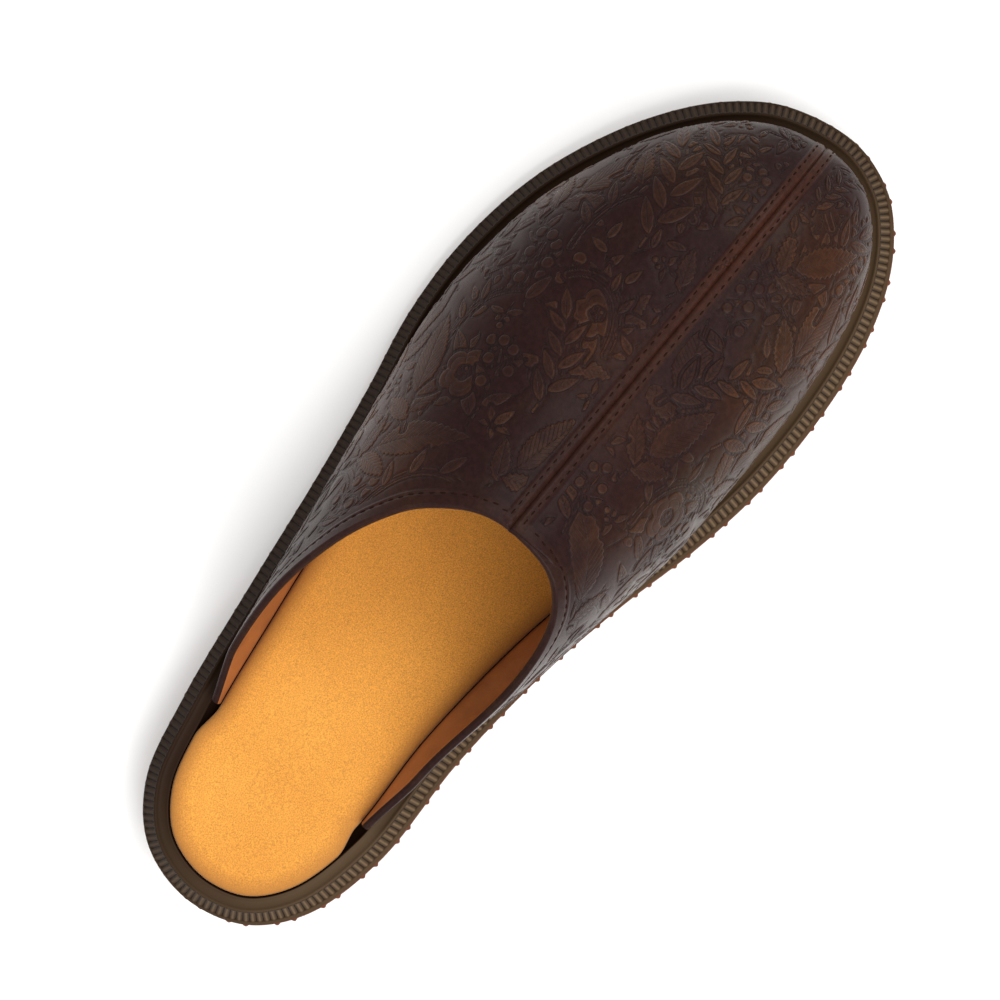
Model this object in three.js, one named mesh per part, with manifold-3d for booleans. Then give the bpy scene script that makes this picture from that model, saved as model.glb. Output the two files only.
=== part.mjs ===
// Slip-on mule for the left foot: a leather vamp with a centre seam on a ribbed rubber sole.
// Millimetres, +Z up. The toe points along +X and the outer (lateral) side of the foot is +Y.
// Stations along the shoe are measured forward from the back of the heel.
import * as THREE from "three";
import Module from "manifold-3d";

const wasm = await Module();
wasm.setup();

// Sole sizes
const SOLE_LENGTH = 289;
const OUTSOLE_THICKNESS = 6.5;
const HEEL_LIFT = 11;
const HEEL_BREAST = 84;
const ARCH_FRONT = 152;
const TOE_SPRING = 10;
const SPRING_START = 205;
// Foremost point of the toe to the side of the heel's middle line, and the slant of the sections there
const TOE_POINT_SIDE = -7;
const TOE_SLANT = 0.14;
const SLANT_START = 195;
const JOINT_GAP = 0.3;

// Half widths of the sole's edge to each side of the line from heel to toe tip, one row a station
const OUTLINE = [
  { at: 5, medial: 18, lateral: 18 },
  { at: 19, medial: 30, lateral: 30.5 },
  { at: 44, medial: 36, lateral: 37.5 },
  { at: 80, medial: 35, lateral: 43.5 },
  { at: 115, medial: 37.5, lateral: 49 },
  { at: 145, medial: 42.5, lateral: 54.6 },
  { at: 170, medial: 48, lateral: 59.8 },
  { at: 195, medial: 51.3, lateral: 61.2 },
  { at: 222, medial: 51, lateral: 57.6 },
  { at: 246, medial: 47.4, lateral: 48.8 },
  { at: 264, medial: 41, lateral: 38.1 },
  { at: 276, medial: 33, lateral: 27.2 },
  { at: 284.5, medial: 23, lateral: 14.4 },
];

// Rim of the midsole from its foot up over the ribs, the edge, the gutter and the lip to the cup's floor
const RIM_FOOT = { inset: 1.2, height: JOINT_GAP };
const RIM_LEDGE = { inset: 0.8, height: 1.1 };
const RIB_FOOT = { inset: 1.1, height: 1.6 };
const RIB_HEAD = { inset: 4.3, height: 6.1 };
const RIM_EDGE = { inset: 4.9, height: 6.5 };
const GUTTER_OUTER = { inset: 5.9, height: 5 };
const GUTTER_INNER = { inset: 7.4, height: 4.7 };
const RIM_LIP = { inset: 8.3, height: 6.2 };
const CUP_WALL = { inset: 8.5, height: 5.6 };
const CUP_FLOOR = { inset: 8.5, height: 2.5 };
const RIB_PITCH = 2.12;
const RIB_GROOVE_DEPTH = 0.55;
// Share of the pitch at which a rib ends and at which the groove after it is deepest
const RIB_END = 0.64;
const GROOVE_MIDDLE = 0.82;

// Edge of the outsole: small upright nubs in pairs
const NUB_PAIR_PITCH = 14;
const NUB_STARTS = [0, 5];
const NUB_WIDTH = 1.5;
const NUB_HEIGHT = 0.8;
const EDGE_UNDERCUT = 0.8;
const EDGE_ROUND = 1;
// The outsole shows past the midsole on the inner side and lies under it on the outer side
const EDGE_INSET = { medial: -0.5, lateral: 0.8 };

// Tread: grooves across the sole between the lugs
const LUG_PITCH = 9.5;
const LUG_GROOVE = { width: 3, bottomWidth: 2, depth: 2.6 };
const LUG_ROWS = [
  { from: 12, count: 8 },
  { from: 161, count: 13 },
];

// Footbed
const INSOLE_CLEARANCE = 0.3;
const INSOLE_PROFILE = [
  { inset: 0, height: 0 },
  { inset: 0, height: 2.2 },
  { inset: 1.2, height: 3.6 },
  { inset: 3.6, height: 4.1 },
  { inset: 14, height: 3.6 },
];

// Upper
const FEATHER_INSET = 8.9;
const WALL = 2.2;
const TUCK_START = 3.9;
const TUCK_END = 15;
const TOE_SWELL = 3.3;
const TOE_SWELL_HEIGHT = 13;
const SIDE_POWER = 2.3;
const THROAT = 142;
const WING_END = 50;
const SEAM_SKEW = 2.3;
const TOE_ROUND_START = 240;
const TOE_ROUND_POWER = 2.35;
// Sections of the last: crown height over the floor, then for the inner and outer side how full the
// shoulder is and how far the wall stands out past the feather edge, over the welt
const LAST = [
  { at: 50, crown: 102, medialPower: 2.2, lateralPower: 2, medialSpread: 2, lateralSpread: 2.8 },
  { at: 80, crown: 95, medialPower: 2.4, lateralPower: 1.95, medialSpread: 4.5, lateralSpread: 4 },
  { at: 110, crown: 87, medialPower: 2.6, lateralPower: 1.95, medialSpread: 8.2, lateralSpread: 4.6 },
  { at: 142, crown: 78, medialPower: 2.7, lateralPower: 1.95, medialSpread: 8.2, lateralSpread: 4.6 },
  { at: 165, crown: 69.8, medialPower: 2.6, lateralPower: 2, medialSpread: 6.4, lateralSpread: 4 },
  { at: 190, crown: 62.5, medialPower: 2.45, lateralPower: 2.15, medialSpread: 2.8, lateralSpread: 3.2 },
  { at: 215, crown: 57.5, medialPower: 2.4, lateralPower: 2.3, medialSpread: 1.8, lateralSpread: 2.8 },
  { at: 240, crown: 53.5, medialPower: 2.4, lateralPower: 2.4, medialSpread: 2, lateralSpread: 2.6 },
  { at: 262, crown: 50.5, medialPower: 2.45, lateralPower: 2.45, medialSpread: 2.8, lateralSpread: 3.4 },
  { at: 290, crown: 47, medialPower: 2.5, lateralPower: 2.5, medialSpread: 3.2, lateralSpread: 3.6 },
];
// Height of the collar on each side from the end of the wings to the throat
const TOPLINE = [
  { at: 50, medial: 26.5, lateral: 26.5 },
  { at: 66, medial: 33.5, lateral: 35 },
  { at: 79, medial: 40, lateral: 44.5 },
  { at: 92, medial: 46.5, lateral: 54 },
  { at: 101, medial: 51, lateral: 60 },
  { at: 112, medial: 56.5, lateral: 65.7 },
  { at: 121, medial: 61.5, lateral: 70 },
  { at: 129, medial: 67, lateral: 73.2 },
  { at: 135, medial: 71.8, lateral: 75.8 },
  { at: 140, medial: 75.9, lateral: 77.4 },
  { at: 142, medial: 78, lateral: 78 },
];
// Raised strip along the collar fold and along each side of the centre seam, as a step in the wall
const COLLAR_FOLD = 6;
const SEAM_STRIP = 4.4;
const STRIP_RISE = 0.45;
const SEAM_DEPTH = 0.4;
const STRIP_STEPS = [
  { across: 1.12, rise: 0 },
  { across: 0.92, rise: 1 },
  { across: 0.2, rise: 1 },
];

// Numbers of facets
const RING_STEPS = 84;
const INSOLE_STEPS = 62;
const WING_STEPS = 11;
const VAMP_STEPS = 17;
const WALL_STEPS = 11;
const TOE_CROWDING = 0.94;
const THROAT_CROWDING = 1.7;

// Smooth value of one column of a table at a station: a cubic through the rows, level past its ends
function tableValue(rows, column, at) {
  const last = rows.length - 1;
  if (at <= rows[0].at) return rows[0][column];
  if (at >= rows[last].at) return rows[last][column];
  let k = 0;
  while (rows[k + 1].at < at) k += 1;
  const slope = (i) => {
    const a = rows[Math.max(i - 1, 0)];
    const b = rows[Math.min(i + 1, last)];
    return (b[column] - a[column]) / (b.at - a.at);
  };
  const span = rows[k + 1].at - rows[k].at;
  const t = (at - rows[k].at) / span;
  const rise = rows[k + 1][column] - rows[k][column];
  const bend = t * (1 - t) * ((1 - t) * (slope(k) * span - rise) - t * (slope(k + 1) * span - rise));
  return rows[k][column] + rise * t + bend;
}

// Sole outline as one closed curve from the heel, along the inner side to the toe and back
const outlinePoints = [
  new THREE.Vector3(0, 0, 0),
  ...OUTLINE.map((row) => new THREE.Vector3(row.at, -row.medial, 0)),
  new THREE.Vector3(SOLE_LENGTH, TOE_POINT_SIDE, 0),
  ...OUTLINE.toReversed().map((row) => new THREE.Vector3(row.at, row.lateral, 0)),
];
const outline = new THREE.CatmullRomCurve3(outlinePoints, true, "centripetal");
outline.arcLengthDivisions = 1200;
const outlineLength = outline.getLength();

// Point of the outline at a share of its length, moved inwards, with its outward direction
function outlineAt(share, inset) {
  const point = outline.getPointAt(share);
  const along = outline.getTangentAt(share);
  const outward = new THREE.Vector3(along.y, -along.x, 0).normalize();
  return { point: point.addScaledVector(outward, -inset), outward };
}

// Height of the tread over the floor, and of the joint between outsole and midsole
function treadHeight(at) {
  const t = THREE.MathUtils.clamp((at - SPRING_START) / (SOLE_LENGTH - SPRING_START), 0, 1);
  return TOE_SPRING * t * t;
}

function archHeight(at) {
  return HEEL_LIFT * (1 - THREE.MathUtils.smoothstep(at, HEEL_BREAST - 14, ARCH_FRONT));
}

function seatHeight(at) {
  return treadHeight(at) + archHeight(at) + OUTSOLE_THICKNESS;
}

// Triangles gathered into one closed shell
class Shell {
  constructor() {
    this.points = [];
    this.triangles = [];
  }

  vertex(point) {
    this.points.push(point.x, point.y, point.z);
    return this.points.length / 3 - 1;
  }

  // Closed ring round the sole: each stop has a share of the outline's length, an inset and a height
  ring(stops) {
    return stops.map((stop) => {
      const { point } = outlineAt(stop.share, stop.inset);
      point.z = stop.base(point.x) + stop.height;
      return { share: stop.share, index: this.vertex(point) };
    });
  }

  // Band between two rings that may hold different numbers of points
  bridge(lower, upper) {
    let i = 0;
    let j = 0;
    const shareAfter = (ring, k) => (k + 1 < ring.length ? ring[k + 1].share : 1 + ring[0].share);
    const pick = (ring, k) => ring[k % ring.length].index;
    while (i < lower.length || j < upper.length) {
      const lowerNext = i < lower.length ? shareAfter(lower, i) : Infinity;
      const upperNext = j < upper.length ? shareAfter(upper, j) : Infinity;
      if (lowerNext <= upperNext) {
        this.triangles.push(pick(lower, i), pick(lower, i + 1), pick(upper, j));
        i += 1;
      } else {
        this.triangles.push(pick(lower, i), pick(upper, j + 1), pick(upper, j));
        j += 1;
      }
    }
  }

  // Floor or top inside an even ring, as strips from one side of the sole to the other
  cap(ring, facesUp) {
    const n = ring.length;
    const pick = (k) => ring[k % n].index;
    for (let k = 0; k < n / 2; k += 1) {
      const strip = [pick(k), pick(k + 1), pick(n - k - 1), pick(n - k)];
      const corners = strip.filter((index, place) => strip.indexOf(index) === place);
      if (!facesUp) corners.reverse();
      for (let c = 1; c + 1 < corners.length; c += 1) {
        this.triangles.push(corners[0], corners[c], corners[c + 1]);
      }
    }
  }

  solid() {
    const mesh = new wasm.Mesh({
      numProp: 3,
      vertProperties: new Float32Array(this.points),
      triVerts: new Uint32Array(this.triangles),
    });
    return new wasm.Manifold(mesh);
  }

  geometry() {
    return geometryOf(this.points, this.triangles);
  }
}

function geometryOf(points, triangles) {
  const geometry = new THREE.BufferGeometry();
  geometry.setAttribute("position", new THREE.Float32BufferAttribute(points, 3));
  geometry.setIndex(Array.from(triangles));
  return geometry;
}

function evenStops(count, { inset, height }, base) {
  return Array.from({ length: count }, (_, k) => ({ share: k / count, inset, height, base }));
}

// Ring along the ribs: each pitch has the two corners of a rib and the bottom of the groove after it
function ribStops({ inset, height }) {
  const ribs = Math.round(outlineLength / RIB_PITCH);
  return Array.from({ length: ribs }, (_, k) => [
    { share: k / ribs, inset, height, base: seatHeight },
    { share: (k + RIB_END) / ribs, inset, height, base: seatHeight },
    { share: (k + GROOVE_MIDDLE) / ribs, inset: inset + RIB_GROOVE_DEPTH, height, base: seatHeight },
  ]).flat();
}

// Midsole: a cup whose rim carries the ribs, the edge, the gutter and the lip against the upper
function makeMidsole() {
  const shell = new Shell();
  const plain = (profile) => shell.ring(evenStops(RING_STEPS, profile, seatHeight));
  const foot = plain(RIM_FOOT);
  const rings = [
    foot,
    plain(RIM_LEDGE),
    shell.ring(ribStops(RIB_FOOT)),
    shell.ring(ribStops(RIB_HEAD)),
    plain(RIM_EDGE),
    plain(GUTTER_OUTER),
    plain(GUTTER_INNER),
    plain(RIM_LIP),
    plain(CUP_WALL),
    plain(CUP_FLOOR),
  ];
  shell.cap(foot, false);
  for (let k = 1; k < rings.length; k += 1) shell.bridge(rings[k - 1], rings[k]);
  shell.cap(rings.at(-1), true);
  return shell.geometry();
}

// Inset of the outsole's edge at a share of the outline
function edgeInset(share) {
  const lateralness = (outlineAt(share, 0).outward.y + 1) / 2;
  return THREE.MathUtils.lerp(EDGE_INSET.medial, EDGE_INSET.lateral, lateralness);
}

// Ring along the outsole's edge, plain or with its nubs
function edgeStops(inset, height, base) {
  const stops = evenStops(RING_STEPS, { inset, height }, base);
  return stops.map((stop) => ({ ...stop, inset: inset + edgeInset(stop.share) }));
}

function nubStops(inset, height, base) {
  const pairs = Math.round(outlineLength / NUB_PAIR_PITCH);
  const pitch = outlineLength / pairs;
  const rows = [];
  for (let pair = 0; pair < pairs; pair += 1) {
    for (const start of NUB_STARTS) {
      const from = pair * pitch + start;
      rows.push({ run: from, proud: 0 });
      rows.push({ run: from + NUB_WIDTH / 2, proud: NUB_HEIGHT });
      rows.push({ run: from + NUB_WIDTH, proud: 0 });
    }
  }
  return rows.map((row) => {
    const share = row.run / outlineLength;
    return { share, inset: inset + edgeInset(share) - row.proud, height, base };
  });
}

// Outsole: slab that follows the toe spring, with the arch cut away before the heel and a lugged tread
function makeOutsole() {
  const slab = new Shell();
  const tread = slab.ring(edgeStops(EDGE_UNDERCUT + EDGE_ROUND, 0, treadHeight));
  const lowEdge = slab.ring(nubStops(EDGE_UNDERCUT, EDGE_ROUND, treadHeight));
  const highEdge = slab.ring(nubStops(0, -EDGE_ROUND, seatHeight));
  const top = slab.ring(edgeStops(EDGE_ROUND / 2, 0, seatHeight));
  slab.cap(tread, false);
  slab.bridge(tread, lowEdge);
  slab.bridge(lowEdge, highEdge);
  slab.bridge(highEdge, top);
  slab.cap(top, true);

  let solid = slab.solid().subtract(archCutter());
  for (const row of LUG_ROWS) {
    for (let k = 0; k < row.count; k += 1) solid = solid.subtract(lugGroove(row.from + k * LUG_PITCH));
  }
  const mesh = solid.getMesh();
  return geometryOf(mesh.vertProperties, mesh.triVerts);
}

// Profile drawn in the XZ plane and run across the full width of the sole
function acrossSole(shape) {
  const width = 2 * SOLE_LENGTH;
  const geometry = new THREE.ExtrudeGeometry(shape, { depth: width, bevelEnabled: false });
  geometry.rotateX(Math.PI / 2);
  geometry.translate(0, width / 2, 0);
  return weldedSolid(geometry);
}

// Closed solid of a geometry whose faces share no vertices: equal corners get one index
function weldedSolid(geometry) {
  const source = geometry.index ? geometry.toNonIndexed() : geometry;
  const position = source.getAttribute("position");
  const places = new Map();
  const shell = new Shell();
  const corner = new THREE.Vector3();
  for (let k = 0; k < position.count; k += 1) {
    corner.fromBufferAttribute(position, k);
    const key = corner.toArray().map((value) => value.toFixed(4)).join();
    if (!places.has(key)) places.set(key, shell.vertex(corner));
    shell.triangles.push(places.get(key));
  }
  return shell.solid();
}

// Hollow under the waist from the heel's breast to the ball, at the outsole's thickness below the seat
function archCutter() {
  const steps = 10;
  const below = -1;
  const shape = new THREE.Shape();
  shape.moveTo(HEEL_BREAST + 3, below);
  shape.lineTo(HEEL_BREAST, archHeight(HEEL_BREAST));
  for (let k = 1; k <= steps; k += 1) {
    const at = HEEL_BREAST + ((ARCH_FRONT - HEEL_BREAST) * k) / steps;
    shape.lineTo(at, archHeight(at));
  }
  shape.lineTo(ARCH_FRONT, below);
  return acrossSole(shape);
}

function lugGroove(at) {
  const { width, bottomWidth, depth } = LUG_GROOVE;
  const floor = treadHeight(at);
  const shape = new THREE.Shape();
  shape.moveTo(at - width / 2, floor - 1.5);
  shape.lineTo(at + width / 2, floor - 1.5);
  shape.lineTo(at + width / 2, floor);
  shape.lineTo(at + bottomWidth / 2, floor + depth);
  shape.lineTo(at - bottomWidth / 2, floor + depth);
  shape.lineTo(at - width / 2, floor);
  return acrossSole(shape);
}

// Footbed: lies on the cup's floor, inside the upper at the front and out to the lip round the open heel
function makeInsole() {
  const inFront = FEATHER_INSET + WALL + INSOLE_CLEARANCE;
  const atHeel = CUP_FLOOR.inset + INSOLE_CLEARANCE;
  const bedInset = (share) => {
    const covered = THREE.MathUtils.smoothstep(outline.getPointAt(share).x, WING_END - 24, WING_END - 4);
    return THREE.MathUtils.lerp(atHeel, inFront, covered);
  };
  const floor = CUP_FLOOR.height + JOINT_GAP;
  const shell = new Shell();
  const rings = INSOLE_PROFILE.map(({ inset, height }) => {
    const stops = evenStops(INSOLE_STEPS, { inset, height: floor + height }, seatHeight);
    return shell.ring(stops.map((stop) => ({ ...stop, inset: inset + bedInset(stop.share) })));
  });
  shell.cap(rings[0], false);
  for (let k = 1; k < rings.length; k += 1) shell.bridge(rings[k - 1], rings[k]);
  shell.cap(rings.at(-1), true);
  return shell.geometry();
}

// Slant of the sections, so that the last of them ends where the seam meets the toe
function toeSlant(x) {
  return TOE_SLANT * THREE.MathUtils.smoothstep(x, SLANT_START, SOLE_LENGTH);
}

// Feather edge of the upper on one side: its place and outward direction at a station, up to the toe
function featherLine(side, inset) {
  const samples = 1000;
  const rows = [];
  for (let k = 0; k <= samples; k += 1) {
    const share = (0.58 * k) / samples;
    const { point, outward } = outlineAt(side < 0 ? share : (1 - share) % 1, inset);
    const at = point.x + toeSlant(point.x) * point.y;
    if (!rows.length || at > rows.at(-1).at) {
      rows.push({ at, x: point.x, y: point.y, outX: outward.x, outY: outward.y });
    }
  }
  const place = (at) => {
    let k = rows.findIndex((row) => row.at >= at);
    if (k < 0) k = rows.length - 1;
    if (k === 0) k = 1;
    const a = rows[k - 1];
    const b = rows[k];
    const t = THREE.MathUtils.clamp((at - a.at) / (b.at - a.at), 0, 1);
    const mix = (column) => THREE.MathUtils.lerp(a[column], b[column], t);
    return { x: mix("x"), y: mix("y"), outX: mix("outX"), outY: mix("outY") };
  };
  return { end: rows.at(-1), place };
}

// Height of the upper's lower edge, where it stands in the midsole's cup
function featherHeight(at) {
  return seatHeight(at) + CUP_FLOOR.height + JOINT_GAP;
}

const SIDE_NAMES = { [-1]: "medial", [1]: "lateral" };

// One face of the upper, the given depth inside its outer face
function lastFace(depth) {
  const sides = { [-1]: featherLine(-1, FEATHER_INSET + depth), [1]: featherLine(1, FEATHER_INSET + depth) };
  const tip = sides[1].end;
  const toeTip = tip.at;
  const ridge = (at) => THREE.MathUtils.mapLinear(at, THROAT, toeTip, -SEAM_SKEW, tip.y);
  const crown = (at) => {
    const t = THREE.MathUtils.clamp((at - TOE_ROUND_START) / (toeTip - TOE_ROUND_START), 0, 1);
    const round = (1 - t ** TOE_ROUND_POWER) ** (1 / TOE_ROUND_POWER);
    const base = featherHeight(at);
    return base + (tableValue(LAST, "crown", at) - depth - base) * round;
  };
  // Angle of the section at which the collar or, in front of the throat, the seam is reached
  const topAngle = (side, at) => {
    if (at >= THROAT) return Math.PI / 2;
    const base = featherHeight(at);
    const height = tableValue(TOPLINE, SIDE_NAMES[side], at);
    const share = (height - base) / (tableValue(LAST, "crown", at) - base);
    return Math.asin(Math.min(1, share) ** (SIDE_POWER / 2));
  };
  const point = (side, at, angle) => {
    const name = SIDE_NAMES[side];
    const feather = sides[side].place(at);
    const middle = ridge(at);
    const across = Math.max(Math.cos(angle), 0) ** (2 / tableValue(LAST, `${name}Power`, at));
    const x = THREE.MathUtils.lerp(at - toeSlant(at) * middle, feather.x, across);
    const rise = (crown(at) - featherHeight(at)) * Math.sin(angle) ** (2 / SIDE_POWER);
    const tuck = THREE.MathUtils.smoothstep(rise, TUCK_START, TUCK_END);
    const spread = tableValue(LAST, `${name}Spread`, at) * tuck;
    const h = Math.max(rise - TUCK_START, 0) / TOE_SWELL_HEIGHT;
    const toeSwell = TOE_SWELL * (h * Math.exp(1 - h)) ** 2;
    const seamOutX = (sides[-1].place(at).outX + sides[1].place(at).outX) / 2;
    return new THREE.Vector3(
      x + THREE.MathUtils.lerp(seamOutX, feather.outX, across) * toeSwell,
      middle + (feather.y - middle + feather.outY * spread) * across,
      featherHeight(x) + rise,
    );
  };
  return { toeTip, topAngle, point };
}

// Stations from the end of the wings to the throat and on to the toe tip. Those of the wings are even at
// the feather edge and lie closer and closer to the throat at the collar
function upperStations(toeTip) {
  const wing = Array.from({ length: WING_STEPS }, (_, k) => {
    const left = 1 - k / WING_STEPS;
    const wingLength = THROAT - WING_END;
    return { base: THROAT - wingLength * left, top: THROAT - wingLength * left ** THROAT_CROWDING };
  });
  const vamp = Array.from({ length: VAMP_STEPS + 1 }, (_, k) => {
    const t = k / VAMP_STEPS;
    const eased = THREE.MathUtils.lerp(t, Math.sin((t * Math.PI) / 2), TOE_CROWDING);
    const at = THROAT + (toeTip - THROAT) * eased;
    return { base: at, top: at };
  });
  return [...wing, ...vamp];
}

// Points up one side of a section: even steps of the wall, then the steps of the raised strip
function sectionPoints(face, side, station, raised) {
  const fine = 160;
  const underCollar = station.top < THROAT;
  const top = face.topAngle(side, station.top);
  const run = [0];
  const curve = [face.point(side, station.base, 0)];
  for (let k = 1; k <= fine; k += 1) {
    const at = THREE.MathUtils.lerp(station.base, station.top, k / fine);
    curve.push(face.point(side, at, (top * k) / fine));
    run.push(run[k - 1] + curve[k].distanceTo(curve[k - 1]));
  }
  const length = run[fine];
  const strip = Math.min(underCollar ? COLLAR_FOLD : SEAM_STRIP, length / 3);
  const fade = Math.min(1, length / 30);
  const pointAt = (distance, rise) => {
    let k = run.findIndex((value) => value >= distance);
    k = THREE.MathUtils.clamp(k < 0 ? fine : k, 1, fine);
    const t = (distance - run[k - 1]) / (run[k] - run[k - 1] || 1);
    const place = curve[k - 1].clone().lerp(curve[k], t);
    const along = curve[k].clone().sub(curve[k - 1]).normalize();
    const out = new THREE.Vector3(0, -side * along.z, side * along.y).negate().normalize();
    return place.addScaledVector(out, raised ? rise * fade : 0);
  };
  const points = [];
  const wallEnd = length - strip * STRIP_STEPS[0].across;
  const upright = Math.min(TUCK_START, wallEnd / WALL_STEPS);
  points.push(pointAt(0, 0));
  for (let k = 0; k < WALL_STEPS; k += 1) {
    points.push(pointAt(THREE.MathUtils.lerp(upright, wallEnd, k / WALL_STEPS), 0));
  }
  for (const step of STRIP_STEPS) points.push(pointAt(length - strip * step.across, step.rise * STRIP_RISE));
  points.push(pointAt(length, underCollar ? 0 : -SEAM_DEPTH));
  return points;
}

// One face of the upper as two patches that share the seam and the toe tip
function upperSheet(shell, depth) {
  const face = lastFace(depth);
  const stations = upperStations(face.toeTip);
  const tip = shell.vertex(face.point(1, face.toeTip, 0));
  const seam = [];
  const patch = (side) =>
    stations.map((station, row) => {
      const points = sectionPoints(face, side, station, depth === 0);
      if (row === stations.length - 1) return points.map(() => tip);
      return points.map((point, k) => {
        const onSeam = station.top >= THROAT && k === points.length - 1;
        if (!onSeam) return shell.vertex(point);
        seam[row] ??= shell.vertex(point);
        return seam[row];
      });
    });
  return { medial: patch(-1), lateral: patch(1) };
}

// Upper: outer and inner sheet, joined round the feather edge, the wing ends and the collar
function makeUpper() {
  const shell = new Shell();
  const outer = upperSheet(shell, 0);
  const inner = upperSheet(shell, WALL);
  const face = (a, b, c, d) => {
    const corners = [a, b, c, d].filter((index, place, all) => all.indexOf(index) === place);
    for (let k = 1; k + 1 < corners.length; k += 1) shell.triangles.push(corners[0], corners[k], corners[k + 1]);
  };
  const skin = (patch, turned) => {
    for (let i = 0; i + 1 < patch.length; i += 1) {
      for (let j = 0; j + 1 < patch[i].length; j += 1) {
        const corners = [patch[i][j], patch[i + 1][j], patch[i + 1][j + 1], patch[i][j + 1]];
        face(...(turned ? corners.reverse() : corners));
      }
    }
  };
  skin(outer.medial, false);
  skin(outer.lateral, true);
  skin(inner.medial, true);
  skin(inner.lateral, false);

  const edgeLoop = ({ medial, lateral }) => {
    const base = (patch) => patch.map((row) => row[0]);
    const collar = (patch) => patch.slice(0, WING_STEPS + 1).map((row) => row.at(-1));
    return [
      ...base(medial),
      ...base(lateral).reverse().slice(1),
      ...lateral[0].slice(1),
      ...collar(lateral).slice(1),
      ...collar(medial).reverse().slice(1),
      ...medial[0].slice(1, -1).reverse(),
    ];
  };
  const outerEdge = edgeLoop(outer);
  const innerEdge = edgeLoop(inner);
  outerEdge.forEach((index, k) => {
    const next = (k + 1) % outerEdge.length;
    face(index, innerEdge[k], innerEdge[next], outerEdge[next]);
  });
  return shell.geometry();
}

// Materials
const leather = new THREE.MeshStandardMaterial({ color: 0x33241f, roughness: 0.45, metalness: 0 });
const rimRubber = new THREE.MeshStandardMaterial({ color: 0x332a21, roughness: 0.55, metalness: 0 });
const soleRubber = new THREE.MeshStandardMaterial({ color: 0x6a3420, roughness: 0.5, metalness: 0 });
const suede = new THREE.MeshStandardMaterial({ color: 0xc98a35, roughness: 0.9, metalness: 0 });

// Assembly, with the origin under the middle of the sole's box
const mule = new THREE.Group();
function addPiece(name, geometry, material) {
  const piece = new THREE.Mesh(geometry, material);
  piece.name = name;
  mule.add(piece);
}
addPiece("outsole", makeOutsole(), soleRubber);
addPiece("midsole", makeMidsole(), rimRubber);
addPiece("insole", makeInsole(), suede);
addPiece("upper", makeUpper(), leather);

const middle = new THREE.Box3().setFromObject(mule).getCenter(new THREE.Vector3());
mule.position.set(-middle.x, -middle.y, 0);

export default mule;
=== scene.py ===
# %% [markdown]
# # A slip-on mule in waxed, embossed leather
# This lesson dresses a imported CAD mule. The shoe stands on the floor with its toe towards +X and its
# outer side towards +Y. The solids give the true form of last and sole. Here they get leather grain,
# pressed flowers, stitches, a ribbed rim with round ribs, and the napped footbed.

# %% Load the frame
import math

import bpy
import numpy as np
from mathutils import Matrix, Vector
from mathutils.kdtree import KDTree


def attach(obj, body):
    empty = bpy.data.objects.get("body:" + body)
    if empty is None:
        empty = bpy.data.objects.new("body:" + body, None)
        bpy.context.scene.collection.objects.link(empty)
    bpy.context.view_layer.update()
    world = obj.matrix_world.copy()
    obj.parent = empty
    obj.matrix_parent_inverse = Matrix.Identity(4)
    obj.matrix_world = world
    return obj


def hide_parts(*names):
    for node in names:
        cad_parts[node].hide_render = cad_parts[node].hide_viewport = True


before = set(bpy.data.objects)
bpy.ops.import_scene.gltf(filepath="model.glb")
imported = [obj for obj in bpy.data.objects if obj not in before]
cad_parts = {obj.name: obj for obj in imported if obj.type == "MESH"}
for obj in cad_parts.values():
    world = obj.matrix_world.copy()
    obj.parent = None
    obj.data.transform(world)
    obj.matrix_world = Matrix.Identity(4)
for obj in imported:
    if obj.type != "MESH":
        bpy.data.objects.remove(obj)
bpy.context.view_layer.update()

# %% [markdown]
# ## Heights of the sole
# A shoemaker measures forward from the back of the heel and up from the floor, in millimetres. We could
# read heights from the CAD mesh, but its facets are coarse. The same sizes and curves, worked out again
# here, let us make every surface as fine as its detail needs.

# %% Heights of the sole
SOLE_LENGTH, OUTSOLE_THICKNESS, HEEL_LIFT = 289.0, 6.5, 11.0
HEEL_BREAST, HEEL_RAMP, ARCH_FRONT = 84.0, 14.0, 152.0
TOE_SPRING, SPRING_START = 10.0, 205.0


def smoothstep(value, low, high):
    t = np.clip((value - low) / (high - low), 0, 1)
    return t * t * (3 - 2 * t)


def tread_height(x):
    t = np.clip((x - SPRING_START) / (SOLE_LENGTH - SPRING_START), 0, 1)
    return TOE_SPRING * t * t


def arch_height(x):
    return HEEL_LIFT * (1 - smoothstep(x, HEEL_BREAST - HEEL_RAMP, ARCH_FRONT))


def seat_height(x):
    """Top of the outsole, where the rim sits."""
    return tread_height(x) + arch_height(x) + OUTSOLE_THICKNESS


print("seat at heel, waist and ball:", [round(float(seat_height(x)), 1) for x in (20, 110, 190)])

# %% [markdown]
# ## The outline of the sole
# Everything on this shoe follows one closed line, the edge of the sole. A Blender curve could carry it,
# but we need its points at any share of its length and any distance inwards, so a smooth cubic curve
# through the rows of a table, worked out in NumPy, is simpler.

# %% Outline of the sole
TOE_POINT_SIDE, CURVE_STEPS = -7.0, 90
OUTLINE = {
    "at": [5, 19, 44, 80, 115, 145, 170, 195, 222, 246, 264, 276, 284.5],
    "medial": [18, 30, 36, 35, 37.5, 42.5, 48, 51.3, 51, 47.4, 41, 33, 23],
    "lateral": [18, 30.5, 37.5, 43.5, 49, 54.6, 59.8, 61.2, 57.6, 48.8, 38.1, 27.2, 14.4],
}


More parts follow.
